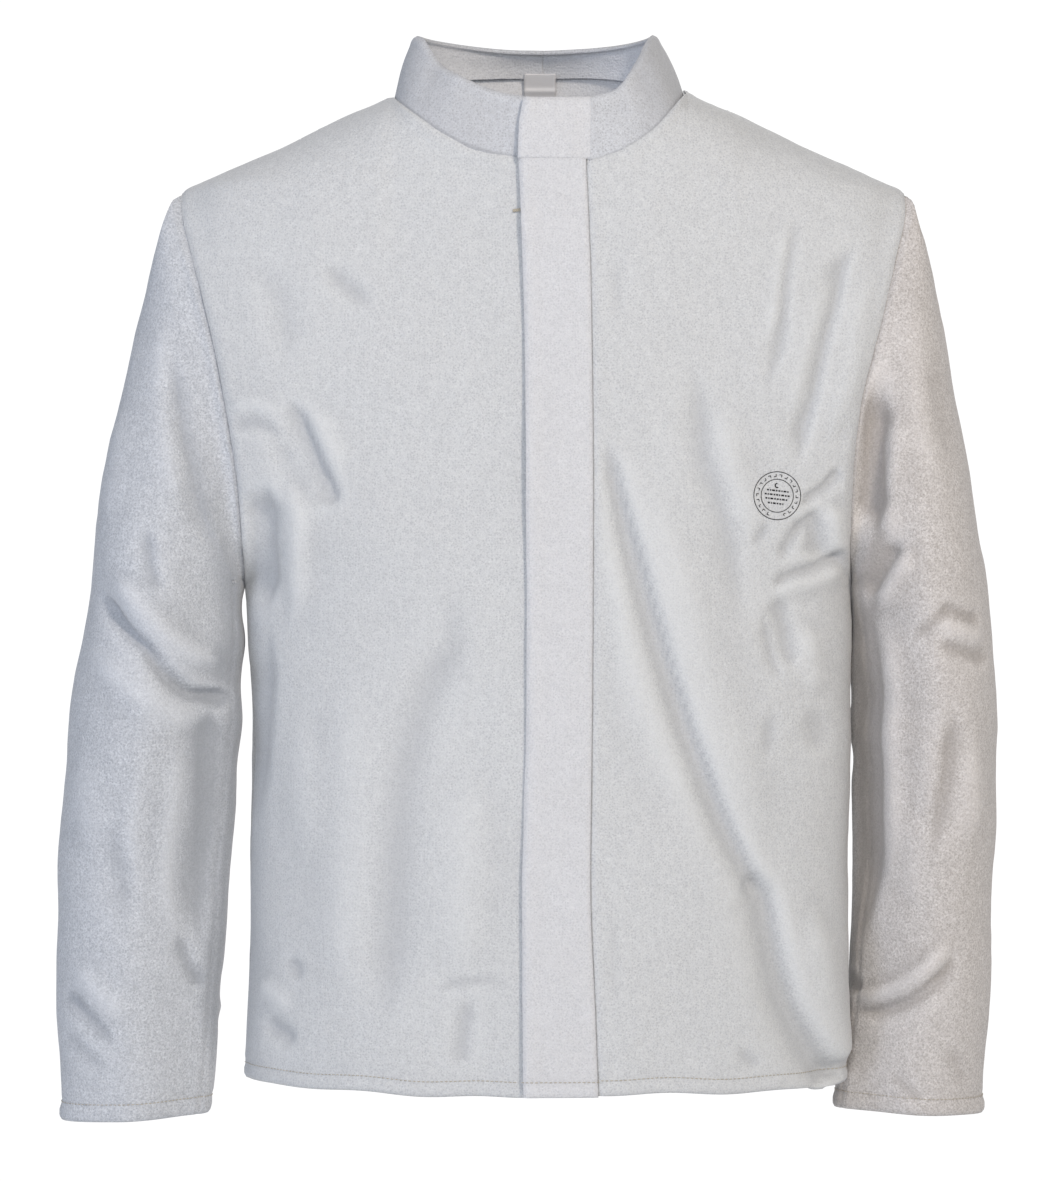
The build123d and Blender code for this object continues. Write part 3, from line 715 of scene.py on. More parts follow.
def seam_dip(distance, depth=1.1, width=2.6):
    """A seam's narrow groove and the faint roll beside it."""
    groove = -depth * bell(distance, width)
    return groove + 0.35 * depth * bell(distance - 3 * width, 2 * width)


def pucker(points, distance, seed, amount=0.5, reach=11.0):
    """Small gathers that a seam's thread draws up."""
    return amount * drift(points, 9.5, seed) * np.exp(-distance / reach)


# ---------------------------------------------------------------- body panels
ROWS = spaced(206, (0.0012, 0.0026, 0.0045), (0.0008, 0.002, 0.0036, 0.006))
UP = np.where(ROWS < 0.86, ROWS / 0.86 * 0.88, 0.88 + 0.12 * np.sin((ROWS - 0.86) / 0.14 * math.pi / 2))


def hem_wave(x, side):
    """The hem isn't cut quite level."""
    return 1.2 * np.sin(x / 37.0) + 0.8 * np.sin(x / 13.0 + side)


def front_base(side, inner_edge, lift):
    """A front's outer face before folds; inner_edge(z) is its edge at the fly, outward from centre."""
    turn = np.linspace(0, 1, 92)
    turn = np.unique(np.concatenate([turn, [0.004, 0.008, 0.014, 0.02]]))
    first = math.asin(float(inner_edge(HEM_Z)) / 224)
    share = (np.sin(first + turn * (math.pi / 2 - first)) - math.sin(first)) / (1 - math.sin(first))
    s, t = np.meshgrid(share, UP)
    top_x = mix(inner_edge(-45.0), SHOULDER_X + 1, s)
    neck_x = neck_side[side][0]
    top_z = np.where(top_x < neck_x, front_neck[side](np.abs(top_x)), shoulder_line[side](top_x))
    z = mix(HEM_Z, top_z, t)
    x = mix(inner_edge(z), body_edge(side, z), s)
    x = np.minimum(x, body_half[side](z))
    y = -body_y(side, x, z, front_depth)
    grid = np.stack([side * x, y, z], -1)
    grid[..., 2] += hem_wave(grid[..., 0], side) * (1 - ease(0, 0.2, t))
    n = normals_of(grid, from_centre)
    return grid + n * lift(x, z)[..., None], n, s, t


def edge_distances(grid):
    """Distances to a grid's inner side, outer side, bottom and top."""
    across, up = step_lengths(grid, 1), step_lengths(grid, 0)
    return across, across[:, -1:] - across, up, up[-1:] - up


def hem_thickness(up):
    """Two layers up to the hem's turned edge."""
    return LEATHER + (TWO_LAYERS - LEATHER) * (1 - ease(HEM_TURN - 1, HEM_TURN + 1, up))


def hem_relief(up, height):
    """The stitching draws a soft hollow along the hem, and the fold at its bottom is round."""
    return -0.8 * bell(up - height, 3.0) + 0.5 * bell(up - height / 2, 4.0) \
        - 1.2 * bell(up, 1.3)


def front(side):
    """One front with its side, from the fly to the side seam and from the hem to the shoulder."""
    if side == LEFT:
        base, n, s, t = front_base(side, fly_seam, lambda x, z: LAPEL_LIFT * (1 - ease(50, 190, x)))
        table, seed = LEFT_FRONT_FOLDS, 11
    else:
        base, n, s, t = front_base(side, lambda z: np.full(np.shape(z), -29.0), lambda x, z: np.zeros(x.shape))
        table, seed = RIGHT_FRONT_FOLDS, 31
    inner, outer, up, down = edge_distances(base)
    x, z = base[..., 0], base[..., 2]
    calm = ease(0, 26, inner) * ease(0, 14, outer + 2)
    if side == RIGHT:
        calm = ease(44, 80, inner) * ease(0, 14, outer + 2)
    calm = calm * ease(0, 22, down + 3)
    creases = folds(x, z, table) * calm
    lifted = creases + hide(base, seed) * mix(0.25, 1.0, calm)
    lifted = lifted + seam_dip(outer) + seam_dip(down)
    lifted = lifted + pucker(base, outer, seed + 5) + pucker(base, down, seed + 6)
    lifted = lifted + hem_relief(up, HEM_STITCH)
    if side == LEFT:
        lifted = lifted + seam_dip(inner, 0.9, 1.8)
    # The hem sways in and out a little between its folds.
    lifted = lifted + 2.4 * np.sin(x / 31.0 + 0.8 * side) * (1 - ease(10, 170, up)) * calm
    grid = base + n * lifted[..., None]
    # Painted shade along the side and armhole seam, the shoulder and neck seams and, on the left front, a
    # wavering line along the fly seam.
    seam = 0.25 * seam_shade(outer, 1.1) + 0.4 * seam_shade(down, 0.9)
    if side == LEFT:
        seam = seam + 0.4 * seam_shade(inner, 0.6) * (0.6 + 0.4 * np.sin(z / 47.0))
    # Painted shade down the sides, under the arms most, taken off the painted highlight and shade of the folds.
    painted_shade_between_arm_and_body = 0.5 * ease(60, 0, outer) * ease(ARMPIT_Z + 60, ARMPIT_Z - 40, z)
    piece = shell(f"{WORD[side]}_front_panel", grid, hem_thickness(up), [suede_body, suede_flesh], from_centre,
                  painted_highlight_and_shade=np.clip(fold_highlight_and_shade(creases) - painted_shade_between_arm_and_body, -1, 1), seam=np.clip(seam, 0, 1))
    return piece, grid, up


def back():
    """The back, one piece from side seam to side seam."""
    turn = np.linspace(-1, 1, 168)
    share = np.sin(turn * math.pi / 2)
    s, t = np.meshgrid(share, UP)
    grids = []
    for side in (RIGHT, LEFT):
        mine = np.abs(s)
        top_x = mine * (SHOULDER_X + 1)
        neck_x = neck_side[side][0]
        top_z = np.where(top_x < neck_x, back_neck[side](top_x), shoulder_line[side](top_x))
        z = mix(HEM_Z, top_z, t)
        x = np.minimum(mine * body_edge(side, z), body_half[side](z))
        y = body_y(side, x, z, back_depth)
        grids.append(np.stack([side * x, y, z], -1))
    base = np.where((s < 0)[..., None], grids[0], grids[1])
    base[..., 2] += hem_wave(base[..., 0], 1) * (1 - ease(0, 0.2, t)) * (np.abs(s) > 0)
    n = normals_of(base, from_centre)
    left_side, right_side, up, down = edge_distances(base)
    seam = np.minimum(left_side, right_side)
    x, z = base[..., 0], base[..., 2]
    calm = ease(0, 14, seam + 2) * ease(0, 22, down + 3)
    creases = folds(x, z, BACK_FOLDS) * calm
    lifted = creases + hide(base, 11) * mix(0.25, 1.0, calm)
    lifted = lifted + seam_dip(seam) + seam_dip(down) + pucker(base, seam, 16) + pucker(base, down, 17)
    lifted = lifted + hem_relief(up, HEM_STITCH)
    grid = base + n * lifted[..., None]
    # Painted highlight and shade on its folds, and painted shade along its side, armhole, shoulder and neck
    # seams.
    piece = shell("back_panel", grid, hem_thickness(up), [suede_body, suede_flesh], from_centre,
                  painted_highlight_and_shade=fold_highlight_and_shade(creases), seam=0.3 * seam_shade(seam, 1.1) + 0.4 * seam_shade(down, 0.9))
    return piece, grid, up


def row_line(grid, up, height, outward, lift=0.25):
    """A line along a grid at a height over its bottom edge, just proud of the leather."""
    n = normals_of(grid, outward)
    points = []
    for column in range(grid.shape[1]):
        k = np.searchsorted(up[:, column], height)
        share = (height - up[k - 1, column]) / (up[k, column] - up[k - 1, column])
        points.append(mix(grid[k - 1, column], grid[k, column], share) + lift * n[k, column])
    return np.array(points)


# ---------------------------------------------------------------- fly
def fly_surface(x, z, lift):
    """A point of the front's smooth face near the fly, lift over the right front."""
    return np.stack([x, -body_y(LEFT, x, z, front_depth) - lift, z], -1)


def fly_band():
    """The band over the opening: outer and lining sewn together, stitched to the left front."""
    top = -46.0
    across = spaced(30, (0.012, 0.03, 0.06), (0.012, 0.03, 0.06))
    rows = spaced(210, (0.0012, 0.0026, 0.0045), (0.001,))
    s, t = np.meshgrid(across, rows)
    z = mix(HEM_Z - 0.5, top, t)
    x = mix(fly_free_edge(z), fly_seam(z) + 0.3, s)
    lift = BAND_LIFT + TWO_LAYERS + 0.25
    base = fly_surface(x, z, lift)
    inner, outer, up, down = edge_distances(base)
    lifted = 0.30 * drift(base, 60, 51) + 0.16 * drift(base, 22, 52) + 0.07 * drift(base, 8, 53)
    # The free edge is folded round, waves slightly, and lifts off the right front here and there.
    lifted = lifted - 1.3 * bell(inner, 1.6) + 0.7 * bell(inner - 6, 5)
    lifted = lifted + (0.9 * np.sin(z / 61.0) + 0.6 * np.sin(z / 23.0 + 1)) * np.exp(-inner / 14)
    lifted = lifted + 2.2 * bell(z + 92, 17) * np.exp(-inner / 9)
    lifted = lifted + 1.6 * bell(z + 250, 45) * np.exp(-inner / 10)
    lifted = lifted - 1.0 * bell(outer, 1.7) + pucker(base, outer, 55, 0.35, 8)
    lifted = lifted + hem_relief(up, HEM_STITCH) * 0.7
    grid = base.copy()
    grid[..., 1] -= lifted
    grid[..., 0] += 0.5 * drift(base, 34, 57) * np.exp(-inner / 10)
    # Painted highlight and shade on its folds, and painted shade along its seam.
    piece = shell("fly_band", grid, TWO_LAYERS, [suede_fly, suede_flesh], from_plane,
                  painted_highlight_and_shade=0.5 * fold_highlight_and_shade(lifted), seam=0.35 * seam_shade(outer, 0.6))
    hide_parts("fly_band", "fly_band_lining")
    bend_fly(piece)
    return grid, up


def tape_pairs():
    """Five pairs of hook and loop tape down the front, hooks on the band and loops under them."""
    s, t = np.meshgrid(spaced(10, (0.03,), (0.03,)), spaced(30, (0.01,), (0.01,)))
    for kind, lift, thickness, material, body, cad, slot in (
            ("loop", 0.1, 0.9, loop_tape, "right_front", "fly_loop_tapes", "loop_tape"),
            ("hook", BAND_LIFT - 0.75, 0.8, hook_tape, "fly_flap", "fly_hook_tapes", "hook_tape")):
        made = []
        for k in range(5):
            low = HIGHEST_TAPE_Z - k * TAPE_STEP
            base = fly_surface(mix(*TAPE_EDGES, s), mix(low, low + TAPE_LENGTH, t), lift + thickness)
            base[..., 1] -= 0.12 * drift(base, 14, 60 + k)
            made.append(shell(f"{kind}_tape_{k}", base, thickness, [material], from_plane))
        whole = join(f"fly_{kind}_tapes", made)
        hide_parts(cad)
        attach(whole, body)


def join(name, objects):
    """Several plain meshes as one object."""
    vertices, faces, count = [], [], 0
    for one in objects:
        co = np.empty(len(one.data.vertices) * 3)
        one.data.vertices.foreach_get("co", co)
        vertices.append(co.reshape(-1, 3) / MM)
        faces += [tuple(v + count for v in p.vertices) for p in one.data.polygons]
        count += len(one.data.vertices)
    materials = list(objects[0].data.materials)
    for one in objects:
        mesh = one.data
        bpy.data.objects.remove(one)
        bpy.data.meshes.remove(mesh)
    return new_object(name, np.concatenate(vertices), faces, materials)


def facing(side, grid):
    """The leather strip that backs a front's edge on the inside and follows its folds."""
    across, _, up, down = edge_distances(grid)
    columns = int(np.searchsorted(across[len(across) // 2], 45))
    low = int(np.searchsorted(up[:, 0], HEM_TURN + 1))
    high = grid.shape[0] - int(np.searchsorted(np.sort(down[:, 0]), 7))
    under = grid - normals_of(grid, from_centre) * (LEATHER + 0.25)
    name = f"{WORD[side]}_front_facing"
    piece = shell(name, under[low:high, 1:columns], LEATHER, [suede_flesh, suede_flesh], from_centre)
    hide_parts(name)
    bend_front(piece)


# ---------------------------------------------------------------- collar
def resampled(points, shares):
    """Points at shares of the length of a smooth line through the given ones."""
    pts = np.array(points, float)
    chord = np.concatenate([[0], np.cumsum(np.linalg.norm(np.diff(pts, axis=0), axis=1))])
    curves = [through(*zip(chord, pts[:, k])) for k in range(3)]
    fine = np.linspace(0, chord[-1], 900)
    line = np.stack([c(fine) for c in curves], -1)
    run = np.concatenate([[0], np.cumsum(np.linalg.norm(np.diff(line, axis=0), axis=1))])
    want = shares * run[-1]
    return np.stack([np.interp(want, run, line[:, k]) for k in range(3)], -1)


def neckline(side, start_x):
    """The neck seam from the front, at start_x off centre, round one side to the centre back."""
    neck_x, _ = neck_side[side]
    first = math.asin(start_x / neck_x)
    a = np.linspace(first, math.pi / 2, 60)
    x = neck_x * np.sin(a)
    z = front_neck[side](np.abs(x))
    y = -body_y(side, x, z, front_depth)
    b = np.linspace(math.pi / 2, 0, 60)[1:]
    xb = neck_x * np.sin(b)
    zb = back_neck[side](xb)
    yb = body_y(side, xb, zb, back_depth)
    return np.stack([side * np.concatenate([x, xb]), np.concatenate([y, yb]), np.concatenate([z, zb])], -1)


COLLAR_TOP = {
    LEFT: [(34, -80, -0.5), (51, -73, 5), (66, -57, 25), (77, -30, 47.5), (82, -6, 54), (81, 20, 56),
           (71, 43, 55), (50, 59, 53.5), (24, 66, 52.5), (0, 67.5, 52)],
    RIGHT: [(-28, -84, -1.0), (0, -85, -1.0), (12, -84, -0.5), (31, -79, 3.3), (53, -72, 12.5), (75, -55, 27.2),
            (89, -28, 49), (94.5, -5, 53.5), (90, 22, 55.5), (76, 45, 55), (50, 60, 53.5), (24, 66, 52.5),
            (0, 67.5, 52)],
}


def collar_half(side):
    """Half the collar, outer and lining in one, from its front end to the centre back seam."""
    start_x = 33.0 if side == LEFT else -28.0
    columns = spaced(110 if side == LEFT else 128, (0.004, 0.01), (0.003,))
    rows = spaced(26, (0.02, 0.05), (0.012, 0.03, 0.06, 0.1))
    base = resampled(neckline(side, start_x), columns)
    top_points = [(side * abs(x) if side == LEFT else -x, y, z) for x, y, z in COLLAR_TOP[side]]
    top = resampled(top_points, columns)
    lift = LAPEL_LIFT * (1 - ease(0.05, 0.55, columns)) if side == LEFT else np.zeros(len(columns))
    base[:, 1] -= lift
    top[:, 1] -= lift
    # The seam tucks the collar's foot 2 mm under the body's neck edge.
    away = from_centre(base)
    base = base + np.array([0, 0, -2.5]) - away / np.linalg.norm(away, axis=1)[:, None]
    t = rows[:, None, None]
    grid = mix(base[None], top[None], t)
    n = normals_of(grid, from_centre)
    s = np.broadcast_to(columns[None, :], grid.shape[:2])
    rise = np.broadcast_to(rows[:, None], grid.shape[:2])
    start, end, up, down = edge_distances(grid)
    bulge = 2.2 * np.sin(np.pi * rise)
    uneven = 0.7 * drift(grid, 46, 71 + side) + 0.35 * drift(grid, 18, 72 + side) + 0.12 * drift(grid, 7, 75)
    uneven = uneven * ease(-4, 20, end)
    edge = -1.5 * bell(down, 1.5) + 0.5 * bell(down - 5, 3)
    # Soft upright buckles stand where the collar turns the corner of the neck.
    if side == RIGHT:
        edge = edge - 0.7 * bell(start, 1.5)
        buckles = ((0.30, 0.03, 1.6), (0.37, 0.025, -1.3))
    else:
        buckles = ((0.13, 0.03, 1.5), (0.21, 0.03, -1.2))
    for place, width, height in buckles:
        edge = edge + height * bell(s - place, width) * rise
    grid = grid + n * (bulge + uneven + edge)[..., None]
    # Painted shade on the collar's sides, stronger on the left half; the seam attribute below paints shade along
    # the neck seam.
    painted_collar_side_shade = (1.3 if side == LEFT else 0.5) * ease(0.06, 0.34, s) * ease(0.9, 0.6, s)
    piece = shell(f"collar_{WORD[side]}", grid, TWO_LAYERS + 0.3, [suede_collar, suede_flesh], from_centre,
                  painted_highlight_and_shade=np.clip(0.6 * fold_highlight_and_shade(uneven + edge) - painted_collar_side_shade, -1, 1),
                  seam=0.55 * seam_shade(up - 1.5, 1.3))
    if side == LEFT:
        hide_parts("collar_outer_left", "collar_lining_left", "collar_outer_back")
    else:
        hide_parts("collar_outer_right", "collar_lining_right", "collar_lining_back")
    bend_front(piece)
    return grid


def collar_tab(beside):
    """The collar's end that closes over the right half; beside is the grid of the half it continues."""
    columns = spaced(34, (0.01, 0.03, 0.06), (0.01, 0.03))
    rows = spaced(28, (0.012, 0.03, 0.06), (0.012, 0.03, 0.06, 0.1))
    s, t = np.meshgrid(columns, rows)
    low = -46.5 + 0 * s
    x_low, x_high = mix(-18.8, 33.4, s), mix(-17.2, 34.2, s)
    x = mix(x_low, x_high, t)
    z = mix(low, mix(-1.8, -0.4, s), t)
    # It stands on the chest's face and leans back to the collar's top.
    y_low = -body_y(LEFT, x, low, front_depth) - (BAND_LIFT + TWO_LAYERS + 0.6)
    y_high = mix(-90.0, -84.6, ease(0, 1, s))
    y = mix(y_low, y_high, t)
    meets = np.interp(z, beside[:, 0, 2], beside[:, 0, 1])
    base = np.stack([x, y, z], -1)
    inner, outer, up, down = edge_distances(base)
    lifted = 0.45 * drift(base, 30, 81) + 0.2 * drift(base, 12, 82) + 0.08 * drift(base, 6, 83)
    lifted = lifted + 1.4 * np.sin(np.pi * t) - 1.4 * bell(down, 1.5)
    lifted = lifted - 1.1 * bell(inner, 1.5) - 1.0 * bell(up, 1.4)
    # The upper free corner is drawn in and rolls forward.
    lifted = lifted + 1.8 * bell(s - 0.12, 0.09) * ease(0.35, 1.0, t)
    grid = base.copy()
    grid[..., 1] = mix(base[..., 1] - lifted, meets, ease(0.72, 0.98, s))
    grid[..., 0] += 2.2 * ease(0.55, 1.0, t) * np.exp(-inner / 12)
    # Painted highlight and shade on its folds, and painted shade along its bottom edge.
    piece = shell("collar_tab", grid, TWO_LAYERS, [suede_fly, suede_flesh], from_plane,
                  painted_highlight_and_shade=0.5 * fold_highlight_and_shade(lifted), seam=0.5 * seam_shade(up, 0.7))
    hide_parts("collar_tab_outer", "collar_tab_lining")
    bend_fly(piece)
    for kind, lift, thick, material, body, cad, slot in (
            ("loop", 0.9, 0.8, loop_tape, "right_front", "collar_loop_tape", "loop_tape"),
            ("hook", 1.9, 0.7, hook_tape, "fly_flap", "collar_hook_tape", "hook_tape")):
        s2, t2 = np.meshgrid(spaced(8), spaced(8))
        x2, z2 = mix(*TAPE_EDGES, s2), mix(-36.0, -11.0, t2)
        patch = np.stack([x2, -88.2 - lift - thick + (z2 + 46) * 0.10, z2], -1)
        tape = shell(f"collar_{kind}_tape", patch, thick, [material], from_plane)
        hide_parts(cad)
        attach(tape, body)


# ---------------------------------------------------------------- sleeves
# Outer and inner silhouette lines of each sleeve, then half its depth and its sweep forward.
SLEEVE_OUTER = {
    RIGHT: through((-741, 356), (-726, 354), (-704, 355), (-660, 359), (-615, 360), (-571, 360), (-527, 357),
                   (-482, 352), (-438, 347), (-393, 340), (-349, 334), (-305, 330), (-260, 322), (-216, 314),
                   (-171, 305), (-149, 299), (-127, 292), (-105, 284), (-83, 275), (-70, 270), (-62, 265)),
    LEFT: through((-741, 328), (-726, 326), (-704, 327), (-660, 331), (-615, 333), (-571, 335), (-527, 337),
                  (-460, 337), (-438, 335), (-393, 331), (-349, 326), (-305, 318), (-260, 312), (-216, 306),
                  (-171, 301), (-149, 296), (-127, 289), (-105, 281), (-83, 272), (-70, 269), (-62, 265)),
}
SLEEVE_INNER = {
    RIGHT: through((-741, 247), (-704, 243), (-660, 239), (-615, 235), (-571, 232), (-527, 228), (-482, 225),
                   (-440, 222.5), (-400, 221), (-350, 220)),
    LEFT: through((-741, 215.5), (-717, 218), (-690, 222), (-660, 226), (-600, 227.5), (-527, 227.5),
                  (-440, 228), (-350, 227)),
}
RING_INNER_Z = through((0, -350), (0.2, -361), (0.4, -392), (0.54, -432), (0.7, -538), (1, -741))
SLEEVE_DEPTH = through((0, 58), (0.1, 64), (0.25, 76), (0.42, 84), (0.54, 84), (0.7, 75), (0.85, 62), (1, 49))
# How far out from the body's side painted shade reaches on the front of each arm.
SLEEVE_SHADE_EDGE = {
    RIGHT: through((-745, 236), (-705, 244), (-641, 253), (-577, 249), (-513, 250), (-448, 252), (-434, 247),
                   (-366, 237), (-321, 241), (-275, 252), (-222, 264), (-180, 269), (-120, 262)),
    LEFT: through((-745, 220), (-700, 226), (-645, 233), (-580, 245), (-515, 246), (-380, 244), (-325, 248),
                  (-241, 260), (-190, 266), (-120, 262)),
}
SLEEVE_SWEEP = {
    RIGHT: through((0, 0), (0.4, 0), (0.7, -1), (1, -9)),
    LEFT: through((0, 0), (0.4, 5), (0.7, 14), (1, 30)),
}


def sleeve(side):
    """A set-in sleeve from the armhole to the cuff, with its underarm seam."""
    angles = np.linspace(0, 2 * math.pi, 132, endpoint=False)
    w = spaced(196, (0.002, 0.006, 0.011), (0.0012, 0.0028, 0.005))
    a, w = np.meshgrid(angles, w)
    outer_z = mix(SHOULDER_Z, CUFF_Z, w)
    inner_z = RING_INNER_Z(w)
    outer_x, inner_x = SLEEVE_OUTER[side](outer_z), SLEEVE_INNER[side](inner_z)
    cos, sin = np.cos(a), np.sin(a)
    x = (outer_x + inner_x) / 2 + (outer_x - inner_x) / 2 * cos
    z = (outer_z + inner_z) / 2 + (outer_z - inner_z) / 2 * cos
    # At the armhole the ring follows the body's edge, tucked just under it.
    settle = ease(0.0, 0.16, w)
    hole_x = armhole[side](np.clip(z, ARMPIT_Z, SHOULDER_Z))
    seam_y = body_y(side, np.minimum(hole_x, body_half[side](z)), z, front_depth)
    seam_back = body_y(side, np.minimum(hole_x, body_half[side](z)), z, back_depth)
    chord = mix(inner_x[:1], outer_x[:1], (z - ARMPIT_Z) / (SHOULDER_Z - ARMPIT_Z))
    x = x + (hole_x - chord) * (1 - ease(0.0, 0.3, w)) * (z > ARMPIT_Z)
    round_y = SLEEVE_DEPTH(w) * np.sign(sin) * np.abs(sin) ** 0.92
    # The front of the arm slopes back towards the body.
    round_y = round_y * (1 - 0.34 * ease(0.15, -0.95, cos) * ease(0.1, 0.4, w))
    hole_y = np.where(sin > 0, seam_y, -seam_back)
    y = -mix(hole_y, round_y, settle) + SLEEVE_SWEEP[side](w)
    base = np.stack([side * x, y, z], -1)
    centre = np.stack([side * (outer_x + inner_x) / 2, 0 * x, (outer_z + inner_z) / 2], -1)

    def outward(g):
        return g - centre

    n = normals_of(base, outward, True)
    up = step_lengths(base, 0)
    from_seam, to_cuff = up, up[-1:] - up
    facing = ease(-0.15, 0.35, sin)
    rear = ease(-0.15, 0.35, -sin)
    table = LEFT_SLEEVE_FOLDS if side == LEFT else RIGHT_SLEEVE_FOLDS
    mirrored = [([(-px, pz - 9) for px, pz in path], *rest)
                for path, *rest in (RIGHT_SLEEVE_FOLDS if side == LEFT else LEFT_SLEEVE_FOLDS)]
    seed = 91 if side == LEFT else 95
    calm = ease(0, 16, from_seam) * ease(0, 20, to_cuff + 4)
    # Folds are shallow at the cuff, where the turned edge is stiff.
    calm = calm * mix(0.5, 1.0, ease(-735, -630, z))
    creases = (folds(base[..., 0], base[..., 2], table) * facing * 0.95
               + folds(base[..., 0], base[..., 2], mirrored) * rear * 0.7) * calm
    lifted = creases + hide(base, seed, 1.35) * mix(0.2, 1.0, calm)
    # Slack gathers in soft rings at the elbow's inner side.
    elbow = bell(z + 420, 70) * ease(-0.2, 0.8, -cos)
    lifted = lifted + 1.5 * np.sin(z / 9.5 + 1.5 * drift(base, 60, seed + 7)) * elbow * calm
    lifted = lifted + pucker(base, from_seam, seed + 8, 0.9, 12) + hem_relief(to_cuff, CUFF_STITCH)
    # The seam allowance makes a low ridge down the underarm.
    seam_angle = np.abs(np.angle(np.exp(1j * (a - math.radians(152)))))
    seam_away = seam_angle * 60
    lifted = lifted + seam_dip(seam_away, 0.9, 2.2) * ease(0, 30, from_seam)
    lifted = lifted + 0.9 * np.sin(5 * a + side) * (1 - ease(4, 60, to_cuff))
    # The first rows pass under the body's armhole edge.
    tuck = 1 - ease(0.0, 0.012, w)
    lifted = lifted - mix(2.6, 1.4, ease(0.93, 0.99, cos)) * tuck
    grid = base + n * lifted[..., None]
    grid[..., 0] -= side * SLEEVE_UNDER * tuck
    name = f"{WORD[side]}_sleeve"
    thickness = LEATHER + (TWO_LAYERS - LEATHER) * (1 - ease(HEM_TURN - 1, HEM_TURN + 1, to_cuff))
    cover = suede_sleeve_left_warm_painted_light if side == LEFT else suede_sleeve_right_cool_painted_light
    # Painted shade along the armhole seam and down the underarm seam.
    seam = np.clip(0.35 * seam_shade(from_seam - 2.0, 1.6) + 0.25 * seam_shade(seam_away, 0.8), 0, 1)
    # Painted shade on the arm's front next to the body and on its inner side towards the back, taken off the
    # painted highlight and shade of its folds.
    near_body = SLEEVE_SHADE_EDGE[side](base[..., 2]) - np.abs(base[..., 0])
    painted_shade_between_arm_and_body = (1.1 * ease(-7, 9, near_body) * facing + 0.7 * ease(0.2, 0.9, -cos) * rear) * ease(0.02, 0.2, w)
    painted_highlight_and_shade = np.clip(0.75 * fold_highlight_and_shade(creases, True) - 0.85 * painted_shade_between_arm_and_body + 0.05, -1, 1)
    piece = shell(name, grid, thickness, [cover, suede_flesh], outward, True, painted_highlight_and_shade, seam)
    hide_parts(name, name.replace("sleeve", "cuff_facing"))
    bend_sleeve(piece)

    # Cuff stitching, on the outer face at its height over the edge.
    n = normals_of(grid, outward, True)
    line = []
    for column in list(range(grid.shape[1])) + [0]:
        k = np.searchsorted(-to_cuff[:, column], -CUFF_STITCH)
        share = (to_cuff[k - 1, column] - CUFF_STITCH) / (to_cuff[k - 1, column] - to_cuff[k, column])
        line.append(mix(grid[k - 1, column], grid[k, column], share) + 0.25 * n[k, column])
    run = stitches(name.replace("sleeve", "cuff_stitching"), [np.array(line)], thread_natural)
    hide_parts(name.replace("sleeve", "cuff_thread"))
    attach(run, f"{name}_body")


# ---------------------------------------------------------------- small pieces
def surface_finder(piece):
    """Finds the point of a piece's outer face in front of an (x, z) place, and its normal."""
    mesh = piece.data
    vertices = [v.co.copy() for v in mesh.vertices]
    faces = [tuple(p.vertices) for p in mesh.polygons if p.material_index == 0]
    tree = BVHTree.FromPolygons(vertices, faces)

    def find(x, z):
        place, normal, _, _ = tree.ray_cast(Vector((x * MM, -1.0, z * MM)), Vector((0, 1, 0)))
        if normal.y > 0:
            normal = -normal
        return np.array(place) / MM, np.array(normal)
    return find


def ink_stamp(find):
    """A round inspection mark: two rings with plain dashes and bars, no letters."""
    cx, cz, proud = 168.6, -288.3, 0.22
    tilt = math.radians(-6)
    vertices, faces = [], []

    def spot(u, v):
        x = cx + u * math.cos(tilt) - v * math.sin(tilt)
        z = cz + u * math.sin(tilt) + v * math.cos(tilt)
        place, normal = find(x, z)
        return place + normal * proud

    def patch(corners_of, steps):
        """A ribbon whose two edges are given at each step."""
        first = len(vertices)
        for k in range(steps + 1):
            low, high = corners_of(k / steps)
            vertices.append(spot(*low))
            vertices.append(spot(*high))
        for k in range(steps):
            a = first + 2 * k
            faces.append((a, a + 1, a + 3, a + 2))

    def arc(radius, width, begin, finish, steps):
        def corners(t):
            angle = mix(begin, finish, t)
            c, s = math.cos(angle), math.sin(angle)
            return (((radius - width / 2) * c, (radius - width / 2) * s),
                    ((radius + width / 2) * c, (radius + width / 2) * s))
        patch(corners, steps)

    arc(17.3, 0.55, 0, 2 * math.pi, 128)
    arc(11.9, 0.5, 0, 2 * math.pi, 96)
    # Dashes between the rings, with a gap below.
    for k in (k for k in range(22) if k not in (16, 17)):
        centre = 2 * math.pi * k / 22
        arc(14.6, 1.9, centre, centre + 0.035, 1)
        arc(15.3 if k % 2 else 13.9, 0.5, centre, centre + 0.13, 3)
    arc(1.5, 0.9, math.radians(50), math.radians(310), 16)
    # The small crescent stands over the bars.
    for k in range(len(vertices) - 34, len(vertices)):
        vertices[k] = vertices[k] + np.array([0.0, 0.0, 7.4])
    rows = ((3.6, -8.0, 8.0), (0.6, -9.4, 9.4), (-2.4, -8.6, 8.2), (-5.6, -6.4, 6.4))
    for height, begin, finish in rows:
        here = begin
        k = 0
        while here < finish - 0.6:
            long = (1.5, 0.9, 2.1, 1.2)[k % 4]
            stop = min(here + long, finish)
            patch(lambda t, h=height, b=here, f=stop: ((mix(b, f, t), h - 0.55), (mix(b, f, t), h + 0.55)), 2)
            here = stop + 0.7
            k += 1
    flat = np.array(vertices)
    back = flat + np.array([0, 0.12, 0])
    solid = [tuple(reversed(f)) for f in faces] + [tuple(v + len(flat) for v in f) for f in faces]
    stamp = new_object("inspection_stamp", np.concatenate([flat, back]), solid, [stamp_ink])
    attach(stamp, "body_shell")


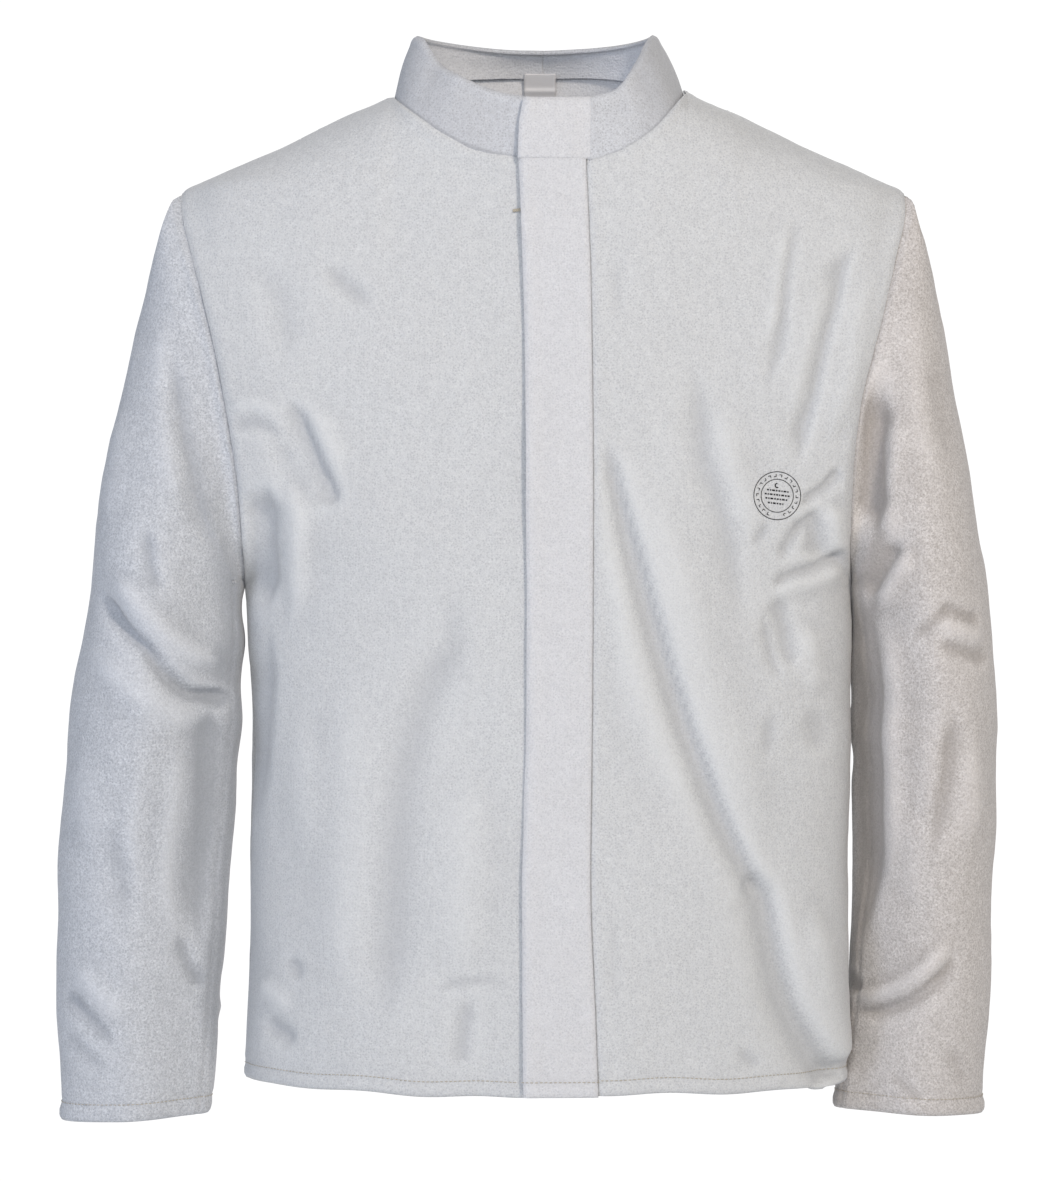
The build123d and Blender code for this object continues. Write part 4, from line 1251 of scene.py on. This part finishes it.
def neck_label():
    """A folded satin label that hangs from the neck seam inside the back."""
    s, t = np.meshgrid(spaced(14), spaced(40))
    x = mix(-14.0, 10.0, s)
    z = mix(-4.0, 35.0, t)
    y = body_y(LEFT, x, z, back_depth) - 3.0 - 6.5 * ease(8, 34, z) - 1.5 * np.sin(z / 6.0)
    # A crease across it, where it was folded.
    y = y - 1.2 * bell(z - 22, 2.0)
    grid = np.stack([x, y, z], -1)
    label = shell("size_label", grid, 0.5, [satin_label], lambda g: g * (0, -1, 0))
    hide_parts("size_label")
    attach(label, "body_shell")


def shoulder_tapes():
    """Woven stay tapes inside the shoulder seams."""
    for side in (LEFT, RIGHT):
        name = f"{WORD[side]}_shoulder_tape"
        s, t = np.meshgrid(spaced(10), spaced(50))
        x = mix(124.0, 250.0, t)
        line = shoulder_line[side](x)
        y = mix(-8.0, 8.0, s)
        depth = np.where(y < 0, front_depth(line), back_depth(line))
        slope = np.abs((shoulder_line[side](x + 1) - shoulder_line[side](x - 1)) / 2)
        drop = x * slope * (y / depth) ** 2 / 2
        grid = np.stack([side * x, y, line - drop - LEATHER - 4.2], -1)
        tape = shell(name, grid, 0.6, [cotton_tape], lambda g: g * (0, 0, -1))
        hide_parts(name)
        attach(tape, "body_shell")


def bartack():
    """The beige bar of thread that holds the fly's upper end."""
    y = -float(body_y(RIGHT, np.array(18.7), np.array(-84.0), front_depth)) - 1.0
    line = [(-21.5, y, -84.2), (-15.5, y - 1.5, -83.4)]
    tack = stitches("fly_bartack", [np.array(line) + np.array([0, 0, k * 0.5]) for k in range(4)],
                    thread_natural, pitch=1.2, length=1.8, radius=0.35)
    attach(tack, "right_front")


# ---------------------------------------------------------------- making the jacket
def hem_stitching(part, line):
    """The thread along one part of the hem."""
    run = stitches(f"hem_stitching_{part}", [line], thread_natural)
    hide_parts(f"hem_thread_{part}")
    return run


def make_jacket():
    """Every piece; some ride on a body, the others have their placement baked into their meshes."""
    back_piece, back_grid, back_up = back()
    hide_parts("back_panel")
    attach(back_piece, "body_shell")
    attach(hem_stitching("back", row_line(back_grid, back_up, HEM_STITCH, from_centre)), "body_shell")

    for side in (LEFT, RIGHT):
        piece, grid, up = front(side)
        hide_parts(f"{WORD[side]}_front_panel", f"{WORD[side]}_front_side")
        if side == LEFT:
            ink_stamp(surface_finder(piece))
        line = row_line(grid, up, HEM_STITCH, from_centre)
        if side == RIGHT:
            line = line[line[:, 0] < -19]
        bend_front(hem_stitching(WORD[side], line))
        bend_front(piece)
        facing(side, grid)

    band_grid, band_up = fly_band()
    line = row_line(band_grid, band_up, HEM_STITCH, from_plane)
    bend_fly(hem_stitching("fly", line))
    tape_pairs()
    collar_left = collar_half(LEFT)
    sleeve(LEFT)
    collar_half(RIGHT)
    sleeve(RIGHT)
    collar_tab(collar_left)
    neck_label()
    shoulder_tapes()
    bartack()


# ---------------------------------------------------------------- studio
def studio():
    """A pale floor in white air, soft lamps, and the camera at chest height."""
    scene = bpy.context.scene
    eye_x, eye_far, eye_z = -0.0159, 3.2, -0.3567
    view_height = 0.8739  # what the frame spans at the jacket's centre plane
    camera_data = bpy.data.cameras.new("camera")
    camera_data.sensor_fit = "VERTICAL"
    camera_data.sensor_height = 36
    camera_data.lens = camera_data.sensor_height * eye_far / view_height
    camera_data.clip_end = 60
    camera = bpy.data.objects.new("camera", camera_data)
    camera.location = (eye_x, -eye_far, eye_z)
    camera.rotation_euler = (math.pi / 2, 0, 0)
    scene.collection.objects.link(camera)
    scene.camera = camera

    floor_z, floor_radius = -1.5, 4.2
    turns = np.linspace(0, 2 * math.pi, 96, endpoint=False)
    vertices = np.stack([floor_radius * np.cos(turns), floor_radius * np.sin(turns), 0 * turns + floor_z],
                        -1) / MM
    paper, tree, principled, place = shader("paper_floor_white", 0.95, Specular_IOR_Level=0.1)
    tone = blended(tree, noise(tree, place, 1000 / 1.5, 2.0), "#f4f4f4", "#efefef")
    tree.links.new(tone, principled.inputs["Base Color"])
    floor = new_object("studio_floor", vertices, [tuple(range(len(vertices)))], [paper])

    world = bpy.data.worlds.new("studio_air")
    world.use_nodes = True
    air = world.node_tree
    air.nodes["Background"].inputs["Color"].default_value = linear("#f3f6fc")
    air.nodes["Background"].inputs["Strength"].default_value = 0.38
    # The camera sees the air as plain white, whatever light it gives.
    white = node(air, "ShaderNodeBackground", None, {"Color": linear("#ffffff"), "Strength": 1.05})
    seen = node(air, "ShaderNodeMixShader", None, None,
                {0: node(air, "ShaderNodeLightPath").outputs["Is Camera Ray"],
                 1: air.nodes["Background"].outputs[0], 2: white.outputs[0]})
    air.links.new(seen.outputs[0], air.nodes["World Output"].inputs["Surface"])
    scene.world = world
    scene.view_settings.view_transform = "Standard"

    def lamp(name, place, aim, size, power, colour):
        data = bpy.data.lights.new(name, "AREA")
        data.shape = "DISK"
        data.size = size
        data.energy = power
        data.color = linear(colour)[:3]
        made = bpy.data.objects.new(name, data)
        made.location = place
        made.rotation_euler = (Vector(aim) - Vector(place)).to_track_quat("-Z", "Y").to_euler()
        scene.collection.objects.link(made)

    lamp("key_upper_right", (1.35, -3.0, 1.7), (0, 0, -0.35), 0.55, 56, "#fff2e4")
    lamp("fill_cool_left", (-2.3, -2.4, 0.2), (0, 0, -0.35), 1.0, 20, "#d3e1ff")
    lamp("front_soft", (-0.5, -4.2, 0.7), (0, 0, -0.4), 1.2, 36, "#fbfcff")
    lamp("rear_soft", (0.9, 3.4, 1.3), (0, 0, -0.35), 1.6, 44, "#fbfcff")


make_jacket()
studio()
